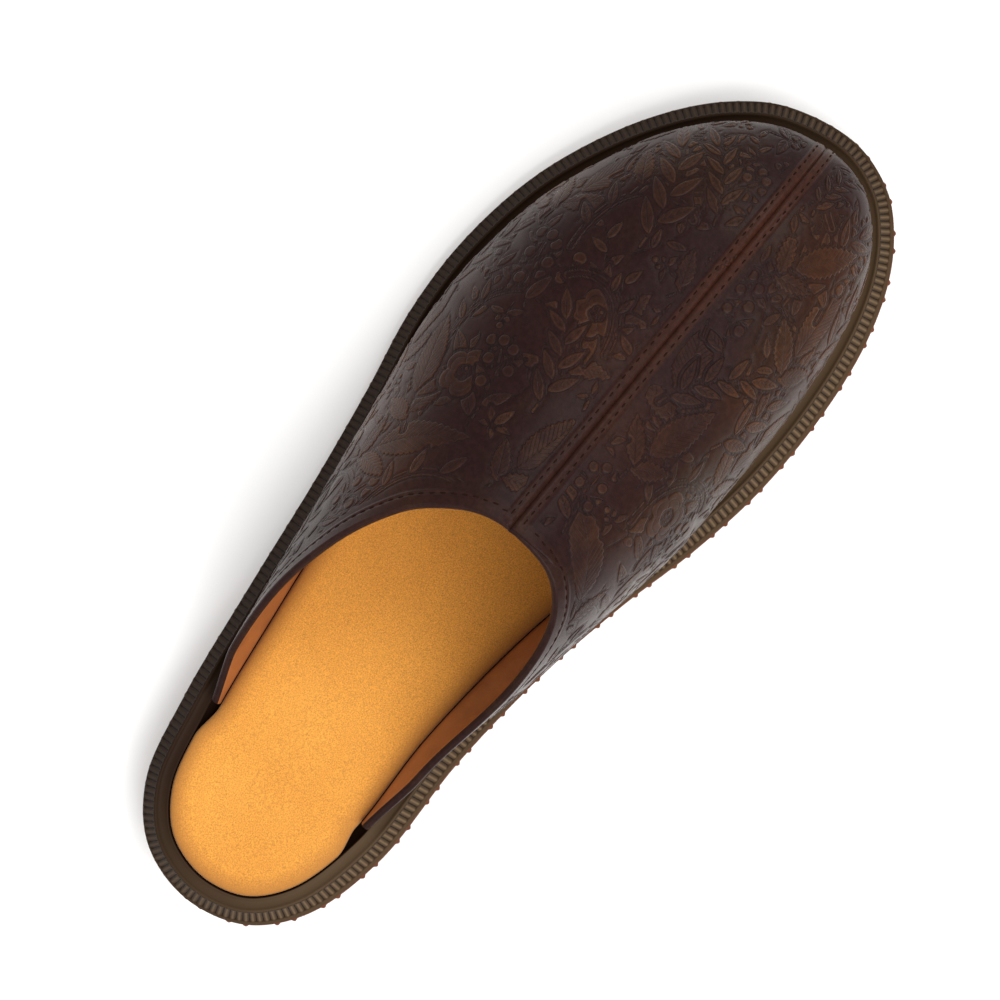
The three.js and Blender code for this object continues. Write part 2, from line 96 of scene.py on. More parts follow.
def outline_samples():
    """Points of a closed curve from the heel along the inner side to the toe and back."""
    rows = list(zip(OUTLINE["at"], OUTLINE["medial"], OUTLINE["lateral"]))
    knots = [(0, 0)] + [(x, -inner) for x, inner, _ in rows] + [(SOLE_LENGTH, TOE_POINT_SIDE)]
    knots = np.array(knots + [(x, outer) for x, _, outer in reversed(rows)], float)
    t = (np.arange(CURVE_STEPS) / CURVE_STEPS)[:, None]
    pieces = []
    for k in range(len(knots)):
        p0, p1, p2, p3 = (knots[(k + i) % len(knots)] for i in (-1, 0, 1, 2))
        d0, d1, d2 = (math.sqrt(np.linalg.norm(b - a)) for a, b in ((p0, p1), (p1, p2), (p2, p3)))
        m1 = d1 * ((p1 - p0) / d0 - (p2 - p0) / (d0 + d1) + (p2 - p1) / d1)
        m2 = d1 * ((p2 - p1) / d1 - (p3 - p1) / (d1 + d2) + (p3 - p2) / d2)
        pieces.append(p1 + m1 * t + (3 * (p2 - p1) - 2 * m1 - m2) * t**2 + (2 * (p1 - p2) + m1 + m2) * t**3)
    return np.vstack(pieces)


def path_run(path):
    """Length of a path up to each of its points."""
    return np.append(0, np.cumsum(np.linalg.norm(np.diff(path, axis=0), axis=1)))


edge_line = outline_samples()
edge_along = np.roll(edge_line, -1, 0) - np.roll(edge_line, 1, 0)
edge_along /= np.linalg.norm(edge_along, axis=1)[:, None]
edge_line, edge_along = (np.vstack([table, table[:1]]) for table in (edge_line, edge_along))
edge_run = path_run(edge_line)
EDGE_LENGTH = edge_run[-1]
print(f"sole edge {EDGE_LENGTH:.0f} mm long")

# %% [markdown]
# The rim, the footbed and the outsole are all swept round this line, so one function gives its points.
# A share of 0 is the back of the heel, and the line then runs along the inner side to the toe.

# %% Points round the outline
def sample(places, run, table):
    """Rows of a table, read at places along its run."""
    return np.stack([np.interp(places, run, column) for column in table.T], -1)


def outline_at(share, inset=0.0):
    """Points of the sole's edge at shares of its length, moved inwards, and the outward directions."""
    run = np.asarray(share) % 1 * EDGE_LENGTH
    along = sample(run, edge_run, edge_along)
    outward = np.stack([along[..., 1], -along[..., 0]], -1)
    outward /= np.linalg.norm(outward, axis=-1)[..., None]
    return sample(run, edge_run, edge_line) - outward * np.asarray(inset)[..., None], outward


print("half way round:", outline_at(0.5)[0].round(1))

# %% [markdown]
# ## Sections of the last
# A last is the wooden foot that a shoe is made on. Each row of its table is a section across the foot:
# how high the crown is, how square each shoulder is, and how far the wall stands out over the rim. A
# second table gives the height of the collar's edge on both sides. Smooth curves run through the rows.

# %% Sections of the last
LAST = {
    "at": [50, 80, 110, 142, 165, 190, 215, 240, 262, 290],
    "crown": [102, 95, 87, 78, 69.8, 62.5, 57.5, 53.5, 50.5, 47],
    "medial_power": [2.2, 2.4, 2.6, 2.7, 2.6, 2.45, 2.4, 2.4, 2.45, 2.5],
    "lateral_power": [2, 1.95, 1.95, 1.95, 2, 2.15, 2.3, 2.4, 2.45, 2.5],
    "medial_spread": [2, 4.5, 8.2, 8.2, 6.4, 2.8, 1.8, 2, 2.8, 3.2],
    "lateral_spread": [2.8, 4, 4.6, 4.6, 4, 3.2, 2.8, 2.6, 3.4, 3.6],
}
TOPLINE = {
    "at": [50, 66, 79, 92, 101, 112, 121, 129, 135, 140, 142],
    "medial": [26.5, 33.5, 40, 46.5, 51, 56.5, 61.5, 67, 71.8, 75.9, 78],
    "lateral": [26.5, 35, 44.5, 54, 60, 65.7, 70, 73.2, 75.8, 77.4, 78],
}


def table_value(table, column, at):
    """Smooth value of one column at a station: a cubic through the rows, level past its ends."""
    xs, ys = np.array(table["at"], float), np.array(table[column], float)
    before, after = np.maximum(np.arange(len(xs)) - 1, 0), np.minimum(np.arange(len(xs)) + 1, len(xs) - 1)
    slope = (ys[after] - ys[before]) / (xs[after] - xs[before])
    at = np.clip(at, xs[0], xs[-1])
    k = np.clip(np.searchsorted(xs, at, side="left") - 1, 0, len(xs) - 2)
    span, rise = xs[k + 1] - xs[k], ys[k + 1] - ys[k]
    t = (at - xs[k]) / span
    bend = t * (1 - t) * ((1 - t) * (slope[k] * span - rise) - t * (slope[k + 1] * span - rise))
    return ys[k] + rise * t + bend


print("crown over the ball:", round(float(table_value(LAST, "crown", 200.0)), 1), "mm")

# %% [markdown]
# ## The feather edge
# The feather edge is the line where the leather meets the sole. It runs at an even distance inside the
# sole's edge. The sections turn a little towards the big toe at the front, so a point's station is
# slanted there.

# %% Feather edge
CUP_FLOOR, JOINT_GAP, FEATHER_INSET = 2.5, 0.3, 8.9
TOE_SLANT, SLANT_START = 0.14, 195.0
HALF_WAY, LINE_STEPS = 0.58, 1600
SIDES = {-1: "medial", 1: "lateral"}


def feather_height(x):
    return seat_height(x) + CUP_FLOOR + JOINT_GAP


def toe_slant(x):
    return TOE_SLANT * smoothstep(x, SLANT_START, SOLE_LENGTH)


def feather_line(side, inset):
    """Station, place and outward direction along one side, from the heel to the toe's tip."""
    share = np.linspace(0, HALF_WAY, LINE_STEPS)
    place, outward = outline_at(share if side < 0 else 1 - share, inset)
    at = place[:, 0] + toe_slant(place[:, 0]) * place[:, 1]
    rising = at >= np.maximum.accumulate(at)
    return np.column_stack([at, place, outward])[rising]


print("feather edge at the ball:", round(float(feather_height(200.0)), 1), "mm over the floor")

# %% [markdown]
# ## The face of the last
# One function gives any point of the upper from a station along the foot and an angle up its section:
# 0 degrees at the feather edge on the sole and 90 degrees at the centre seam. A superellipse makes the
# section, and the wall swells out a little over the rim, as leather does when it is pulled over a last.

# %% Points on the last
WALL, THROAT, WING_END, SEAM_SKEW = 2.2, 142.0, 50.0, 2.3
TUCK_START, TUCK_END, TOE_SWELL, TOE_SWELL_HEIGHT = 3.9, 15.0, 3.3, 13.0
SIDE_POWER, TOE_ROUND_START, TOE_ROUND_POWER = 2.3, 240.0, 2.35


class LastFace:
    """One face of the upper, at a depth inside its outer face."""

    def __init__(self, depth):
        self.depth = depth
        self.lines = {side: feather_line(side, FEATHER_INSET + depth) for side in SIDES}
        self.toe_tip, self.tip_y = self.lines[1][-1, 0], self.lines[1][-1, 2]

    def feather(self, side, at):
        line = self.lines[side]
        return [np.interp(at, line[:, 0], line[:, c]) for c in (1, 2, 3, 4)]

    def ridge(self, at):
        t = (at - THROAT) / (self.toe_tip - THROAT)
        return -SEAM_SKEW + (self.tip_y + SEAM_SKEW) * t

    def crown_rise(self, at):
        t = np.clip((at - TOE_ROUND_START) / (self.toe_tip - TOE_ROUND_START), 0, 1)
        roundness = (1 - t**TOE_ROUND_POWER) ** (1 / TOE_ROUND_POWER)
        return (table_value(LAST, "crown", at) - self.depth - feather_height(at)) * roundness

    def top_angle(self, side, at):
        base = feather_height(at)
        share = (table_value(TOPLINE, SIDES[side], at) - base) / (table_value(LAST, "crown", at) - base)
        angle = np.arcsin(np.minimum(1, share) ** (SIDE_POWER / 2))
        return np.where(at >= THROAT, math.pi / 2, angle)

    def point(self, side, at, angle):
        fx, fy, out_x, out_y = self.feather(side, at)
        middle = self.ridge(at)
        across = np.maximum(np.cos(angle), 0) ** (2 / table_value(LAST, SIDES[side] + "_power", at))
        rise = self.crown_rise(at) * np.sin(angle) ** (2 / SIDE_POWER)
        spread = table_value(LAST, SIDES[side] + "_spread", at) * smoothstep(rise, TUCK_START, TUCK_END)
        h = np.maximum(rise - TUCK_START, 0) / TOE_SWELL_HEIGHT
        swell = TOE_SWELL * (h * np.exp(1 - h)) ** 2
        seam_x = at - toe_slant(at) * middle
        x = seam_x + (fx - seam_x) * across
        seam_out = (self.feather(-1, at)[2] + self.feather(1, at)[2]) / 2
        forward = seam_out + (out_x - seam_out) * across
        y = middle + (fy - middle + out_y * spread) * across
        return np.stack([x + forward * swell, y, feather_height(x) + rise], -1)


outer_face, inner_face = LastFace(0.0), LastFace(WALL)
print(f"toe tip of the upper at {outer_face.toe_tip:.1f} mm")

# %% [markdown]
# ## Helpers for materials
# A material is a tree of nodes. One small function adds a node, sets it up and links its inputs, and
# gives back the output that the next node needs. Colours are written as on a paint chart, in sRGB, and
# turned to the linear values that Blender mixes. A texture's scale comes from a real size.

# %% Helpers for materials
SOFT = {"interpolation_type": "SMOOTHSTEP"}
RGBA = {"data_type": "RGBA", "out": 2}


def linear(code):
    """Linear colour of an sRGB hex value."""
    parts = [int(code[i : i + 2], 16) / 255 for i in (1, 3, 5)]
    return (*[p / 12.92 if p <= 0.04045 else ((p + 0.055) / 1.055) ** 2.4 for p in parts], 1.0)


def fill(tree, node, inputs):
    """Sets a node's inputs, by name or in order: a value is set and a socket is linked."""
    for key, value in inputs.items() if isinstance(inputs, dict) else enumerate(inputs):
        if isinstance(value, bpy.types.NodeSocket):
            tree.links.new(value, node.inputs[key])
        else:
            node.inputs[key].default_value = value


def add(tree, kind, inputs=(), out=0, **settings):
    """Adds a node with its settings and inputs, and gives one of its outputs."""
    node = tree.nodes.new("ShaderNode" + kind)
    for key, value in settings.items():
        setattr(node, key, value)
    fill(tree, node, inputs)
    return node.outputs[out]


def per_mm(size):
    """Texture scale for a pattern whose cells are this many millimetres wide."""
    return 1000.0 / size


def new_material(name):
    material = bpy.data.materials.new(name)
    material.use_nodes = True
    tree = material.node_tree
    return material, tree, tree.nodes["Principled BSDF"], add(tree, "TexCoord", out="Object")


print("a 1 mm pattern has a scale of", per_mm(1.0))

# %% [markdown]
# ## Colours of the hide
# The upper is full-grain leather soaked with wax. Wax sinks in unevenly and leaves plum, olive and russet
# clouds a few centimetres wide. The olive tone is also raised over the inner side, as painted light from
# the key lamp. A painted image could hold them, but a noise and two numbers stored on the mesh, for tone
# and warmth, need no image and can be moved by a line in a table.

# %% Colours of the hide
PLUM, OLIVE, RUSSET = linear("#20100f"), linear("#291b12"), linear("#371c0f")
CHESTNUT, BURNISH, GROOVE = linear("#371d13"), linear("#5a371d"), linear("#0e0706")


def wax_clouds(tree, stored, cloud):
    """Plum leather with olive and russet clouds, the olive partly painted light on the inner side, and
    chestnut strips beside the seam.
    """
    drift = add(tree, "MapRange", (cloud, 0.36, 0.66, -0.3, 0.4), **SOFT)
    # The olive tone is wax clouds, and on the inner side also painted light
    olive = add(tree, "Math", (stored["olive_tone_and_light"], drift), operation="ADD")
    colour = add(tree, "Mix", {"Factor": olive, 6: PLUM, 7: OLIVE}, **RGBA)
    rubbed = add(tree, "MapRange", (cloud, 0.3, 0.6, 0.35, 1.0), **SOFT)
    russet = add(tree, "Math", (stored["warm"], rubbed), operation="MULTIPLY")
    colour = add(tree, "Mix", {"Factor": russet, 6: colour, 7: RUSSET}, **RGBA)
    return add(tree, "Mix", {"Factor": stored["strip"], 6: colour, 7: CHESTNUT}, **RGBA)


print("plum in linear light:", [round(v, 4) for v in PLUM[:3]])

# %% [markdown]
# ## Lines of the press plate
# A hot plate presses flowers into the leather. The mesh carries the soft pillows and stores, in
# millimetres, how far each point lies from a motif's outline, from its midrib and from its veins. The
# material turns these distances into thin lines, much finer than the mesh, because a distance changes
# evenly from point to point.

# %% Lines of the press plate
def plate_lines(tree, stored, place):
    """Three masks of the press plate: inside a motif, its raised rims, and its fine cuts."""
    edge = stored["press_edge"]
    inside = add(tree, "MapRange", (edge, 0.05, -0.7, 0.0, 1.0), **SOFT)
    from_rim = add(tree, "Math", (edge, 0.42), operation="ADD")
    from_rim = add(tree, "Math", (from_rim,), operation="ABSOLUTE")
    raised = add(tree, "MapRange", (from_rim, 0.12, 0.42, 1.0, 0.0), **SOFT)
    from_edge = add(tree, "Math", (edge,), operation="ABSOLUTE")
    outline = add(tree, "MapRange", (from_edge, 0.06, 0.32, 1.0, 0.0), **SOFT)
    rib = add(tree, "MapRange", (stored["press_rib"], 0.08, 0.32, 1.0, 0.0), **SOFT)
    vein = add(tree, "Math", (stored["press_vein"], 0.5), operation="PINGPONG")
    vein = add(tree, "MapRange", (vein, 0.03, 0.14, 0.8, 0.0), **SOFT)
    fine = add(tree, "Math", (rib, vein), operation="MAXIMUM")
    fine = add(tree, "Math", (fine, inside), operation="MULTIPLY")
    cut = add(tree, "Math", (fine, outline), operation="MAXIMUM")
    # The plate bites unevenly, over stretches of about four centimetres
    bite = add(tree, "TexNoise", {"Vector": place, "Scale": per_mm(38), "Detail": 2.0})
    bite = add(tree, "MapRange", (bite, 0.36, 0.6, 0.6, 1.0), **SOFT)
    return [add(tree, "Math", (mask, bite), operation="MULTIPLY") for mask in (inside, raised, cut)]


print("made the masks: inside, raised, cut")

# %% [markdown]
# ## Burnish and relief
# The plate's heat rubs the raised rims to an orange-brown and leaves the cuts nearly black. The same three
# masks give the relief: rims stand up a few hundredths of a millimetre, cuts sink in, and pores lie all
# over. Real displacement of such fine lines would need millions of faces, so they are bump.

# %% Burnish and relief
def burnished(tree, stored, masks, cloud, speck):
    """Colour of the hide, rubbed a little inside a motif, most along its rim, and dark in its cuts."""
    inside, raised, cut = masks
    wear = add(tree, "MapRange", (cloud, 0.42, 0.62, 0.1, 0.42), **SOFT)
    wear = add(tree, "Math", (stored["warm"], 0.5, wear), operation="MULTIPLY_ADD")
    rubbed = add(tree, "Math", (inside, 0.36), operation="MULTIPLY")
    rubbed = add(tree, "Math", (raised, 0.5, rubbed), operation="MULTIPLY_ADD")
    rubbed = add(tree, "Math", (rubbed, wear), operation="MULTIPLY")
    ground = wax_clouds(tree, stored, cloud)
    colour = add(tree, "Mix", {"Factor": rubbed, 6: ground, 7: BURNISH}, **RGBA)
    depth = add(tree, "MapRange", (cloud, 0.3, 0.55, 0.75, 0.55), **SOFT)
    depth = add(tree, "Math", (cut, depth), operation="MULTIPLY")
    colour = add(tree, "Mix", {"Factor": depth, 6: colour, 7: GROOVE}, **RGBA)
    mottle = add(tree, "MapRange", (speck, 0.3, 0.7, 0.8, 1.2), **SOFT)
    return add(tree, "Mix", {"Factor": 1.0, 6: colour, 7: mottle}, blend_type="MULTIPLY", **RGBA)


def grain_and_press(tree, masks, place, speck):
    """Bump of the plate's lines and of pores 0.6 mm apart, about three times real size so that they show."""
    inside, raised, cut = masks
    pores = add(tree, "TexVoronoi", {"Vector": place, "Scale": per_mm(0.6)}, feature="DISTANCE_TO_EDGE")
    pores = add(tree, "MapRange", (pores, 0.0, 0.12, 0.0, 1.0), **SOFT)
    grain = add(tree, "Math", (pores, speck), operation="ADD")
    relief = add(tree, "Math", (inside, 0.05), operation="MULTIPLY")
    for mask, height in ((raised, 0.07), (cut, -0.11), (grain, 0.012)):
        relief = add(tree, "Math", (mask, height, relief), operation="MULTIPLY_ADD")
    return add(tree, "Bump", {"Height": relief, "Strength": 0.85, "Distance": 0.001})


print("made the burnished colour and the relief, in millimetres")

# %% [markdown]
# ## Waxed leather
# Now the leather is put together. Dark wax shines crisply but not brightly, so its roughness is low and
# so is its specular level: a stronger one would turn the dark brown grey. A touch of sheen stands for
# the soft haze of rubbed wax.

# %% Waxed leather
STORED = ("olive_tone_and_light", "warm", "strip", "press_edge", "press_rib", "press_vein")


def waxed_leather():
    """Full-grain cowhide, waxed and hot-pressed: satin and blotched, rims burnished, cuts dark."""
    material, tree, shader, place = new_material("waxed_pressed_cowhide")
    stored = {key: add(tree, "Attribute", out="Fac", attribute_name=key) for key in STORED}
    cloud = add(tree, "TexNoise", {"Vector": place, "Scale": per_mm(24), "Detail": 4.0, "Roughness": 0.6})
    speck = add(tree, "TexNoise", {"Vector": place, "Scale": per_mm(1.6), "Detail": 3.0, "Roughness": 0.65})
    masks = plate_lines(tree, stored, place)
    fill(tree, shader, {
        "Base Color": burnished(tree, stored, masks, cloud, speck),
        "Roughness": add(tree, "MapRange", (cloud, 0.35, 0.65, 0.36, 0.26), **SOFT),
        "Normal": grain_and_press(tree, masks, place, speck),
        "IOR": 1.48,
        "Specular IOR Level": 0.09,
        "Sheen Weight": 0.07,
        "Sheen Roughness": 0.4,
        "Sheen Tint": linear("#d0a898"),
    })
    return material


leather = waxed_leather()
print("leather:", leather.name)

# %% [markdown]
# ## Lining leather
# The inside is lined with vegetable-tanned leather, orange-brown and dull. It shows as a strip beside
# the footbed. Like the other plain materials of this shoe it is two shades that drift into each other
# and a fine grain, so two functions make both for all of them.

# %% Lining leather
def clouded(name, cell, detail, dark, light):
    """New material that drifts between two shades, in clouds so many millimetres wide."""
    material, tree, shader, place = new_material(name)
    cloud = add(tree, "TexNoise", {"Vector": place, "Scale": per_mm(cell), "Detail": detail})
    colour = add(tree, "Mix", {"Factor": cloud, 6: linear(dark), 7: linear(light)}, **RGBA)
    return material, tree, shader, place, colour


def grained(tree, place, cell, detail, strength, depth, roughness=0.5):
    """Fine noise with cells of this many millimetres, and its bump with a depth in metres."""
    noise = {"Vector": place, "Scale": per_mm(cell), "Detail": detail, "Roughness": roughness}
    fine = add(tree, "TexNoise", noise)
    return fine, add(tree, "Bump", {"Height": fine, "Strength": strength, "Distance": depth})


def lining_leather():
    """Vegetable-tanned lining: matt, warm orange-brown with a fine grain."""
    material, tree, shader, place, colour = clouded("vegetable_tanned_lining", 9, 5.0, "#6e3a16", "#a8622a")
    _, bump = grained(tree, place, 0.7, 2.0, 0.25, 0.0002)
    fill(tree, shader, {"Base Color": colour, "Normal": bump, "Roughness": 0.62})
    return material


lining = lining_leather()
print("lining:", lining.name)

# %% [markdown]
# ## Shapes on the press plate
# The plate carries a common botanical pattern. Each shape on it is a distance to its outline, in
# millimetres, below zero inside. A new shape lies over the older ones with a small gap round it, as on
# a cut plate. Drawn curves could be projected instead, but distances give pillow, rim and line at once.

# %% Shapes on the press plate
PLATE_GAP, MARK_REACH, DOUBLE_GAP = 0.8, 0.3, 0.95
VEIN_PITCH, VEIN_SLANT, LEAF_LEAN, LEAF_FULLNESS = 1.9, 1.25, 0.78, 0.9
PETAL_DEPTH, PETAL_ROUNDNESS, HEART_SIZE, SEED_SIZE = 0.3, 0.6, 0.16, 0.09
FAR_EDGE, NO_RIB, NO_VEIN = 30.0, 9.0, 0.5


def turned(u, w, at_u, at_w, heading):
    """Places seen from another root and heading."""
    c, s = math.cos(heading), math.sin(heading)
    du, dw = u - at_u, w - at_w
    return c * du + s * dw, -s * du + c * dw


class Plate:
    """Pressed pattern on a set of points: distance to the outline, distance to a rib, count of veins."""

    def __init__(self, edge, rib, vein):
        self.edge, self.rib, self.vein = edge, rib, vein

    def lay(self, edge, rib=NO_RIB, vein=NO_VEIN):
        self.rib = np.where(edge < MARK_REACH, rib, self.rib)
        self.vein = np.where(edge < MARK_REACH, vein, self.vein)
        self.edge = np.minimum(edge, np.maximum(self.edge, PLATE_GAP - edge))

    def leaf(self, u, w, length, width, vein=VEIN_PITCH, tooth=0.0):
        t = np.clip(u / length, 0.0, 1.0)
        half = width / 2 * np.sin(math.pi * t**LEAF_LEAN) ** LEAF_FULLNESS
        half = half + tooth * np.cos(math.tau * u / vein) * smoothstep(t * (1 - t), 0.02, 0.12)
        past = np.abs(u - np.clip(u, 0, length))
        edge = np.hypot(past, np.maximum(np.abs(w) - half, 0)) - np.maximum(half - np.abs(w), 0) * (past == 0)
        self.lay(edge, np.abs(w), (u - VEIN_SLANT * np.abs(w)) / vein)

    def berry(self, u, w, radius):
        self.lay(np.hypot(u, w) - radius, np.hypot(u - 0.35 * radius, w))

    def blossom(self, u, w, radius, petals=5):
        rho, turn = np.hypot(u, w), np.arctan2(w, u)
        scallop = np.abs(np.cos(petals / 2 * turn)) ** PETAL_ROUNDNESS
        rim_at = radius * (1 - PETAL_DEPTH + PETAL_DEPTH * scallop)
        gap = np.abs(np.sin((turn * petals / 2 + math.pi / 2) % math.pi)) * rho / petals * 2
        self.lay((rho - rim_at) * 0.85, gap, np.clip((rho - rim_at * 0.72) / VEIN_PITCH, -0.49, 0.49))
        for k in range(petals + 1):
            at, turn_k = HEART_SIZE * radius * (k > 0), k * math.tau / petals
            self.berry(u - at * math.cos(turn_k), w - at * math.sin(turn_k), SEED_SIZE * radius)

    def line(self, u, w, path, half=0.5, double=False):
        d = np.full(u.shape, 1e3)
        for (au, aw), (bu, bw) in zip(path[:-1], path[1:]):
            run = (bu - au) ** 2 + (bw - aw) ** 2
            t = np.clip(((u - au) * (bu - au) + (w - aw) * (bw - aw)) / run, 0, 1)
            d = np.minimum(d, np.hypot(u - au - t * (bu - au), w - aw - t * (bw - aw)))
        self.lay((np.abs(d - DOUBLE_GAP) if double else d) - half)


print("shapes: leaf, berry, blossom, line")

# %% [markdown]
# ## Motifs
# A motif is drawn flat, in millimetres, on the plane that touches the upper at its root: sprays of pointed
# leaves, toothed ferns, tendrils, berry sprigs and scrolls, each with leaves set on a bent stem, and
# five-petalled blossoms. They are our own drawings of common plants.

# %% Motifs
def stem(plate, u, w, length, bend, curl=0.0, steps=16, **line):
    """Draws a stem that starts along +u and bends, more to its end with a curl, and gives its points."""
    path, place, heading = [(0.0, 0.0, 0.0)], np.zeros(2), 0.0
    for k in range(steps):
        heading += (bend + curl * k / steps) * length / steps
        place = place + length / steps * np.array([math.cos(heading), math.sin(heading)])
        path.append((*place, heading))
    plate.line(u, w, [p[:2] for p in path], **line)
    return path


def leaf_on(plate, u, w, point, turn, length, width, **style):
    """Leaf that leaves a stem's point at an angle to the stem."""
    plate.leaf(*turned(u, w, point[0], point[1], point[2] + turn), length, width, **style)


def spray(plate, u, w, size, bend):
    path = stem(plate, u, w, 36 * size, bend / size)
    for n, k in enumerate(range(2, 16, 2)):
        length = size * (13 - 0.4 * n)
        leaf_on(plate, u, w, path[k], 0.68 if n % 2 else -0.68, length, 0.33 * length)
    leaf_on(plate, u, w, path[-1], 0.0, 12.5 * size, 4.2 * size)


def fern(plate, u, w, size, bend):
    path = stem(plate, u, w, 12 * size, bend / size, steps=6, half=0.4)
    for k, turn, length in ((2, -0.8, 15), (3, 0.85, 16), (6, 0.0, 26)):
        leaf_on(plate, u, w, path[k], turn, length * size, 0.4 * length * size, vein=1.7, tooth=0.32)


def tendril(plate, u, w, size, bend):
    path = stem(plate, u, w, 32 * size, bend / size, curl=1.5 * bend / size, steps=20, half=0.22)
    for n, k in enumerate((4, 7, 10, 13, 16, 19)):
        leaf_on(plate, u, w, path[k], 0.8 if n % 2 else -0.8, 7.5 * size, 3.0 * size, vein=1.6)


def berries(plate, u, w, size, bend):
    path = stem(plate, u, w, 26 * size, bend / size, half=0.4)
    for n, k in enumerate((3, 6, 9)):
        leaf_on(plate, u, w, path[k], -0.8 if n % 2 else 0.8, 10 * size, 4 * size)
    for n, k in enumerate((6, 9, 11, 13, 15, 16)):
        heading = path[k][2] + (1.0 if n % 2 else -1.0)
        reach = (4.2 if k < 16 else 0.5) * size
        berry_u, berry_w = path[k][0] + reach * math.cos(heading), path[k][1] + reach * math.sin(heading)
        plate.berry(u - berry_u, w - berry_w, 1.9 * size)


def scroll(plate, u, w, size, bend):
    path = stem(plate, u, w, 44 * size, bend / size, curl=4 * bend / size, steps=26, half=0.38, double=True)
    for k in (5, 10, 15):
        leaf_on(plate, u, w, path[k], -math.copysign(0.9, bend), 9 * size, 3.2 * size)


def bloom(plate, u, w, size, bend):
    for k in range(4):
        heading = 0.6 + k * math.tau / 4
        root = (5 * size * math.cos(heading), 5 * size * math.sin(heading), heading)
        leaf_on(plate, u, w, root, bend, 13 * size, 5 * size)
    plate.blossom(u, w, 8.8 * size)


print("motifs: spray, fern, tendril, berries, scroll, bloom")

# %% [markdown]
# ## Bands of motifs
# The motifs are laid in bands along each half, from the feather edge up to the seam, so that later ones
# lie over earlier ones. A scatter by chance would leave holes and crowds; here each band is a row with
# its own step and heading, and a slow wave swings the headings so that no two motifs look alike.

# %% Bands of motifs
# Share of the way down the side, first and last station, step between roots, heading in degrees from the
# toe's direction, and the kinds in turn with their sizes
BANDS = {
    1: [
        (0.88, 70, 262, 17, 10, [(tendril, 0.9)]),
        (0.55, 100, 262, 17, -12, [(tendril, 1.0)]),
        (0.25, 136, 262, 17, 10, [(tendril, 0.9)]),
        (0.95, 74, 252, 21, -8, [(fern, 0.8), (berries, 0.8), (spray, 0.7)]),
        (0.80, 84, 262, 23, -18, [(spray, 0.85), (scroll, 0.8), (bloom, 0.85), (fern, 0.95)]),
        (0.62, 104, 264, 22, 14, [(berries, 1.0), (fern, 1.05), (spray, 0.95), (scroll, 0.9)]),
        (0.44, 120, 262, 23, -22, [(scroll, 1.0), (fern, 1.05), (bloom, 0.9), (berries, 1.0)]),
        (0.26, 136, 266, 22, 18, [(spray, 0.95), (berries, 0.95), (fern, 1.0), (bloom, 0.85)]),
        (0.13, 146, 262, 24, 4, [(fern, 0.9), (spray, 0.8), (scroll, 0.75)]),
    ],
    -1: [
        (0.88, 76, 262, 17, -10, [(tendril, 0.9)]),
        (0.55, 106, 262, 17, 12, [(tendril, 1.0)]),
        (0.25, 138, 262, 17, -10, [(tendril, 0.9)]),
        (0.95, 80, 250, 21, -6, [(spray, 0.7), (fern, 0.8), (berries, 0.8)]),
        (0.80, 92, 260, 22, -20, [(fern, 0.95), (scroll, 0.85), (spray, 0.85), (bloom, 0.8)]),
        (0.62, 112, 262, 23, 16, [(scroll, 0.95), (spray, 1.0), (berries, 1.0), (fern, 1.05)]),
        (0.44, 128, 264, 22, -16, [(fern, 1.05), (berries, 1.0), (bloom, 0.9), (spray, 0.95)]),
        (0.26, 140, 262, 24, 24, [(spray, 0.95), (scroll, 0.9), (fern, 1.0), (berries, 0.95)]),
        (0.13, 150, 264, 22, -4, [(berries, 0.85), (fern, 0.9), (spray, 0.8)]),
    ],
}
SWING, STEM_BEND, TOE_SHRINK, TOE_STATIONS = 26, 0.018, 0.35, (225, 265)


def motif_rows(side):
    """Motif, station, share down the side, heading, size and bend of each root, band by band."""
    rows = []
    for share, first, last, step, heading, kinds in BANDS[side]:
        for n, at in enumerate(np.arange(first, last, step)):
            motif, size = kinds[n % len(kinds)]
            swing = SWING * math.sin(2.4 * n + 7 * share)
            bend = STEM_BEND * (1 if (n + len(rows)) % 2 else -1)
            small = size * (1 - TOE_SHRINK * smoothstep(at, *TOE_STATIONS))
            rows.append((motif, at, share + 0.04 * math.sin(1.7 * n), heading + swing, small, bend))
    return rows


print("motifs on each half:", {name: len(motif_rows(side)) for side, name in SIDES.items()})

# %% [markdown]
# ## Grid of one half
# The vamp is cut as an inner and an outer half and sewn along the centre. Blender could sculpt them, but
# a grid of points on the last, moved along its normals, keeps exactly to the CAD form. Its rows crowd at
# the throat and at the toe, where the form turns fastest.

# %% Grid of one half
WING_ROWS, VAMP_ROWS, WALL_ROWS, ARC_STEPS = 172, 326, 170, 161
THROAT_CROWDING, TOE_CROWDING = 1.7, 0.9
TOE_TIP_NORMAL, TINY = (0.97, 0, 0.24), 1e-9


def stations(toe_tip):
    """Stations of each row at the feather edge and at the collar or seam."""
    left = 1 - np.arange(WING_ROWS) / WING_ROWS
    base = THROAT - (THROAT - WING_END) * left
    top = THROAT - (THROAT - WING_END) * left**THROAT_CROWDING
    t = np.arange(VAMP_ROWS + 1) / VAMP_ROWS
    vamp = THROAT + (toe_tip - THROAT) * ((1 - TOE_CROWDING) * t + TOE_CROWDING * np.sin(t * math.pi / 2))
    return np.append(base, vamp), np.append(top, vamp)


def face_grid(face, side, rows):
    """Stations, angles and points of a grid with even steps up the wall."""
    base, top = stations(face.toe_tip)
    fine = np.linspace(0, 1, ARC_STEPS)
    rise = face.top_angle(side, top)[:, None]
    curves = face.point(side, base[:, None] + (top - base)[:, None] * fine, rise * fine)
    share = np.linspace(0, 1, rows + 1)
    even = np.array([np.interp(share * run[-1], run, fine) for run in map(path_run, curves)])
    at, angle = base[:, None] + (top - base)[:, None] * even, rise * even
    return at, angle, face.point(side, at, angle)


def grid_normals(points, side):
    along, up = np.gradient(points, axis=0), np.gradient(points, axis=1)
    normal = np.cross(along, up) * -side
    normal[-1] = TOE_TIP_NORMAL
    return normal / np.maximum(np.linalg.norm(normal, axis=2), TINY)[..., None]


print("grid of", WING_ROWS + VAMP_ROWS, "by", WALL_ROWS)

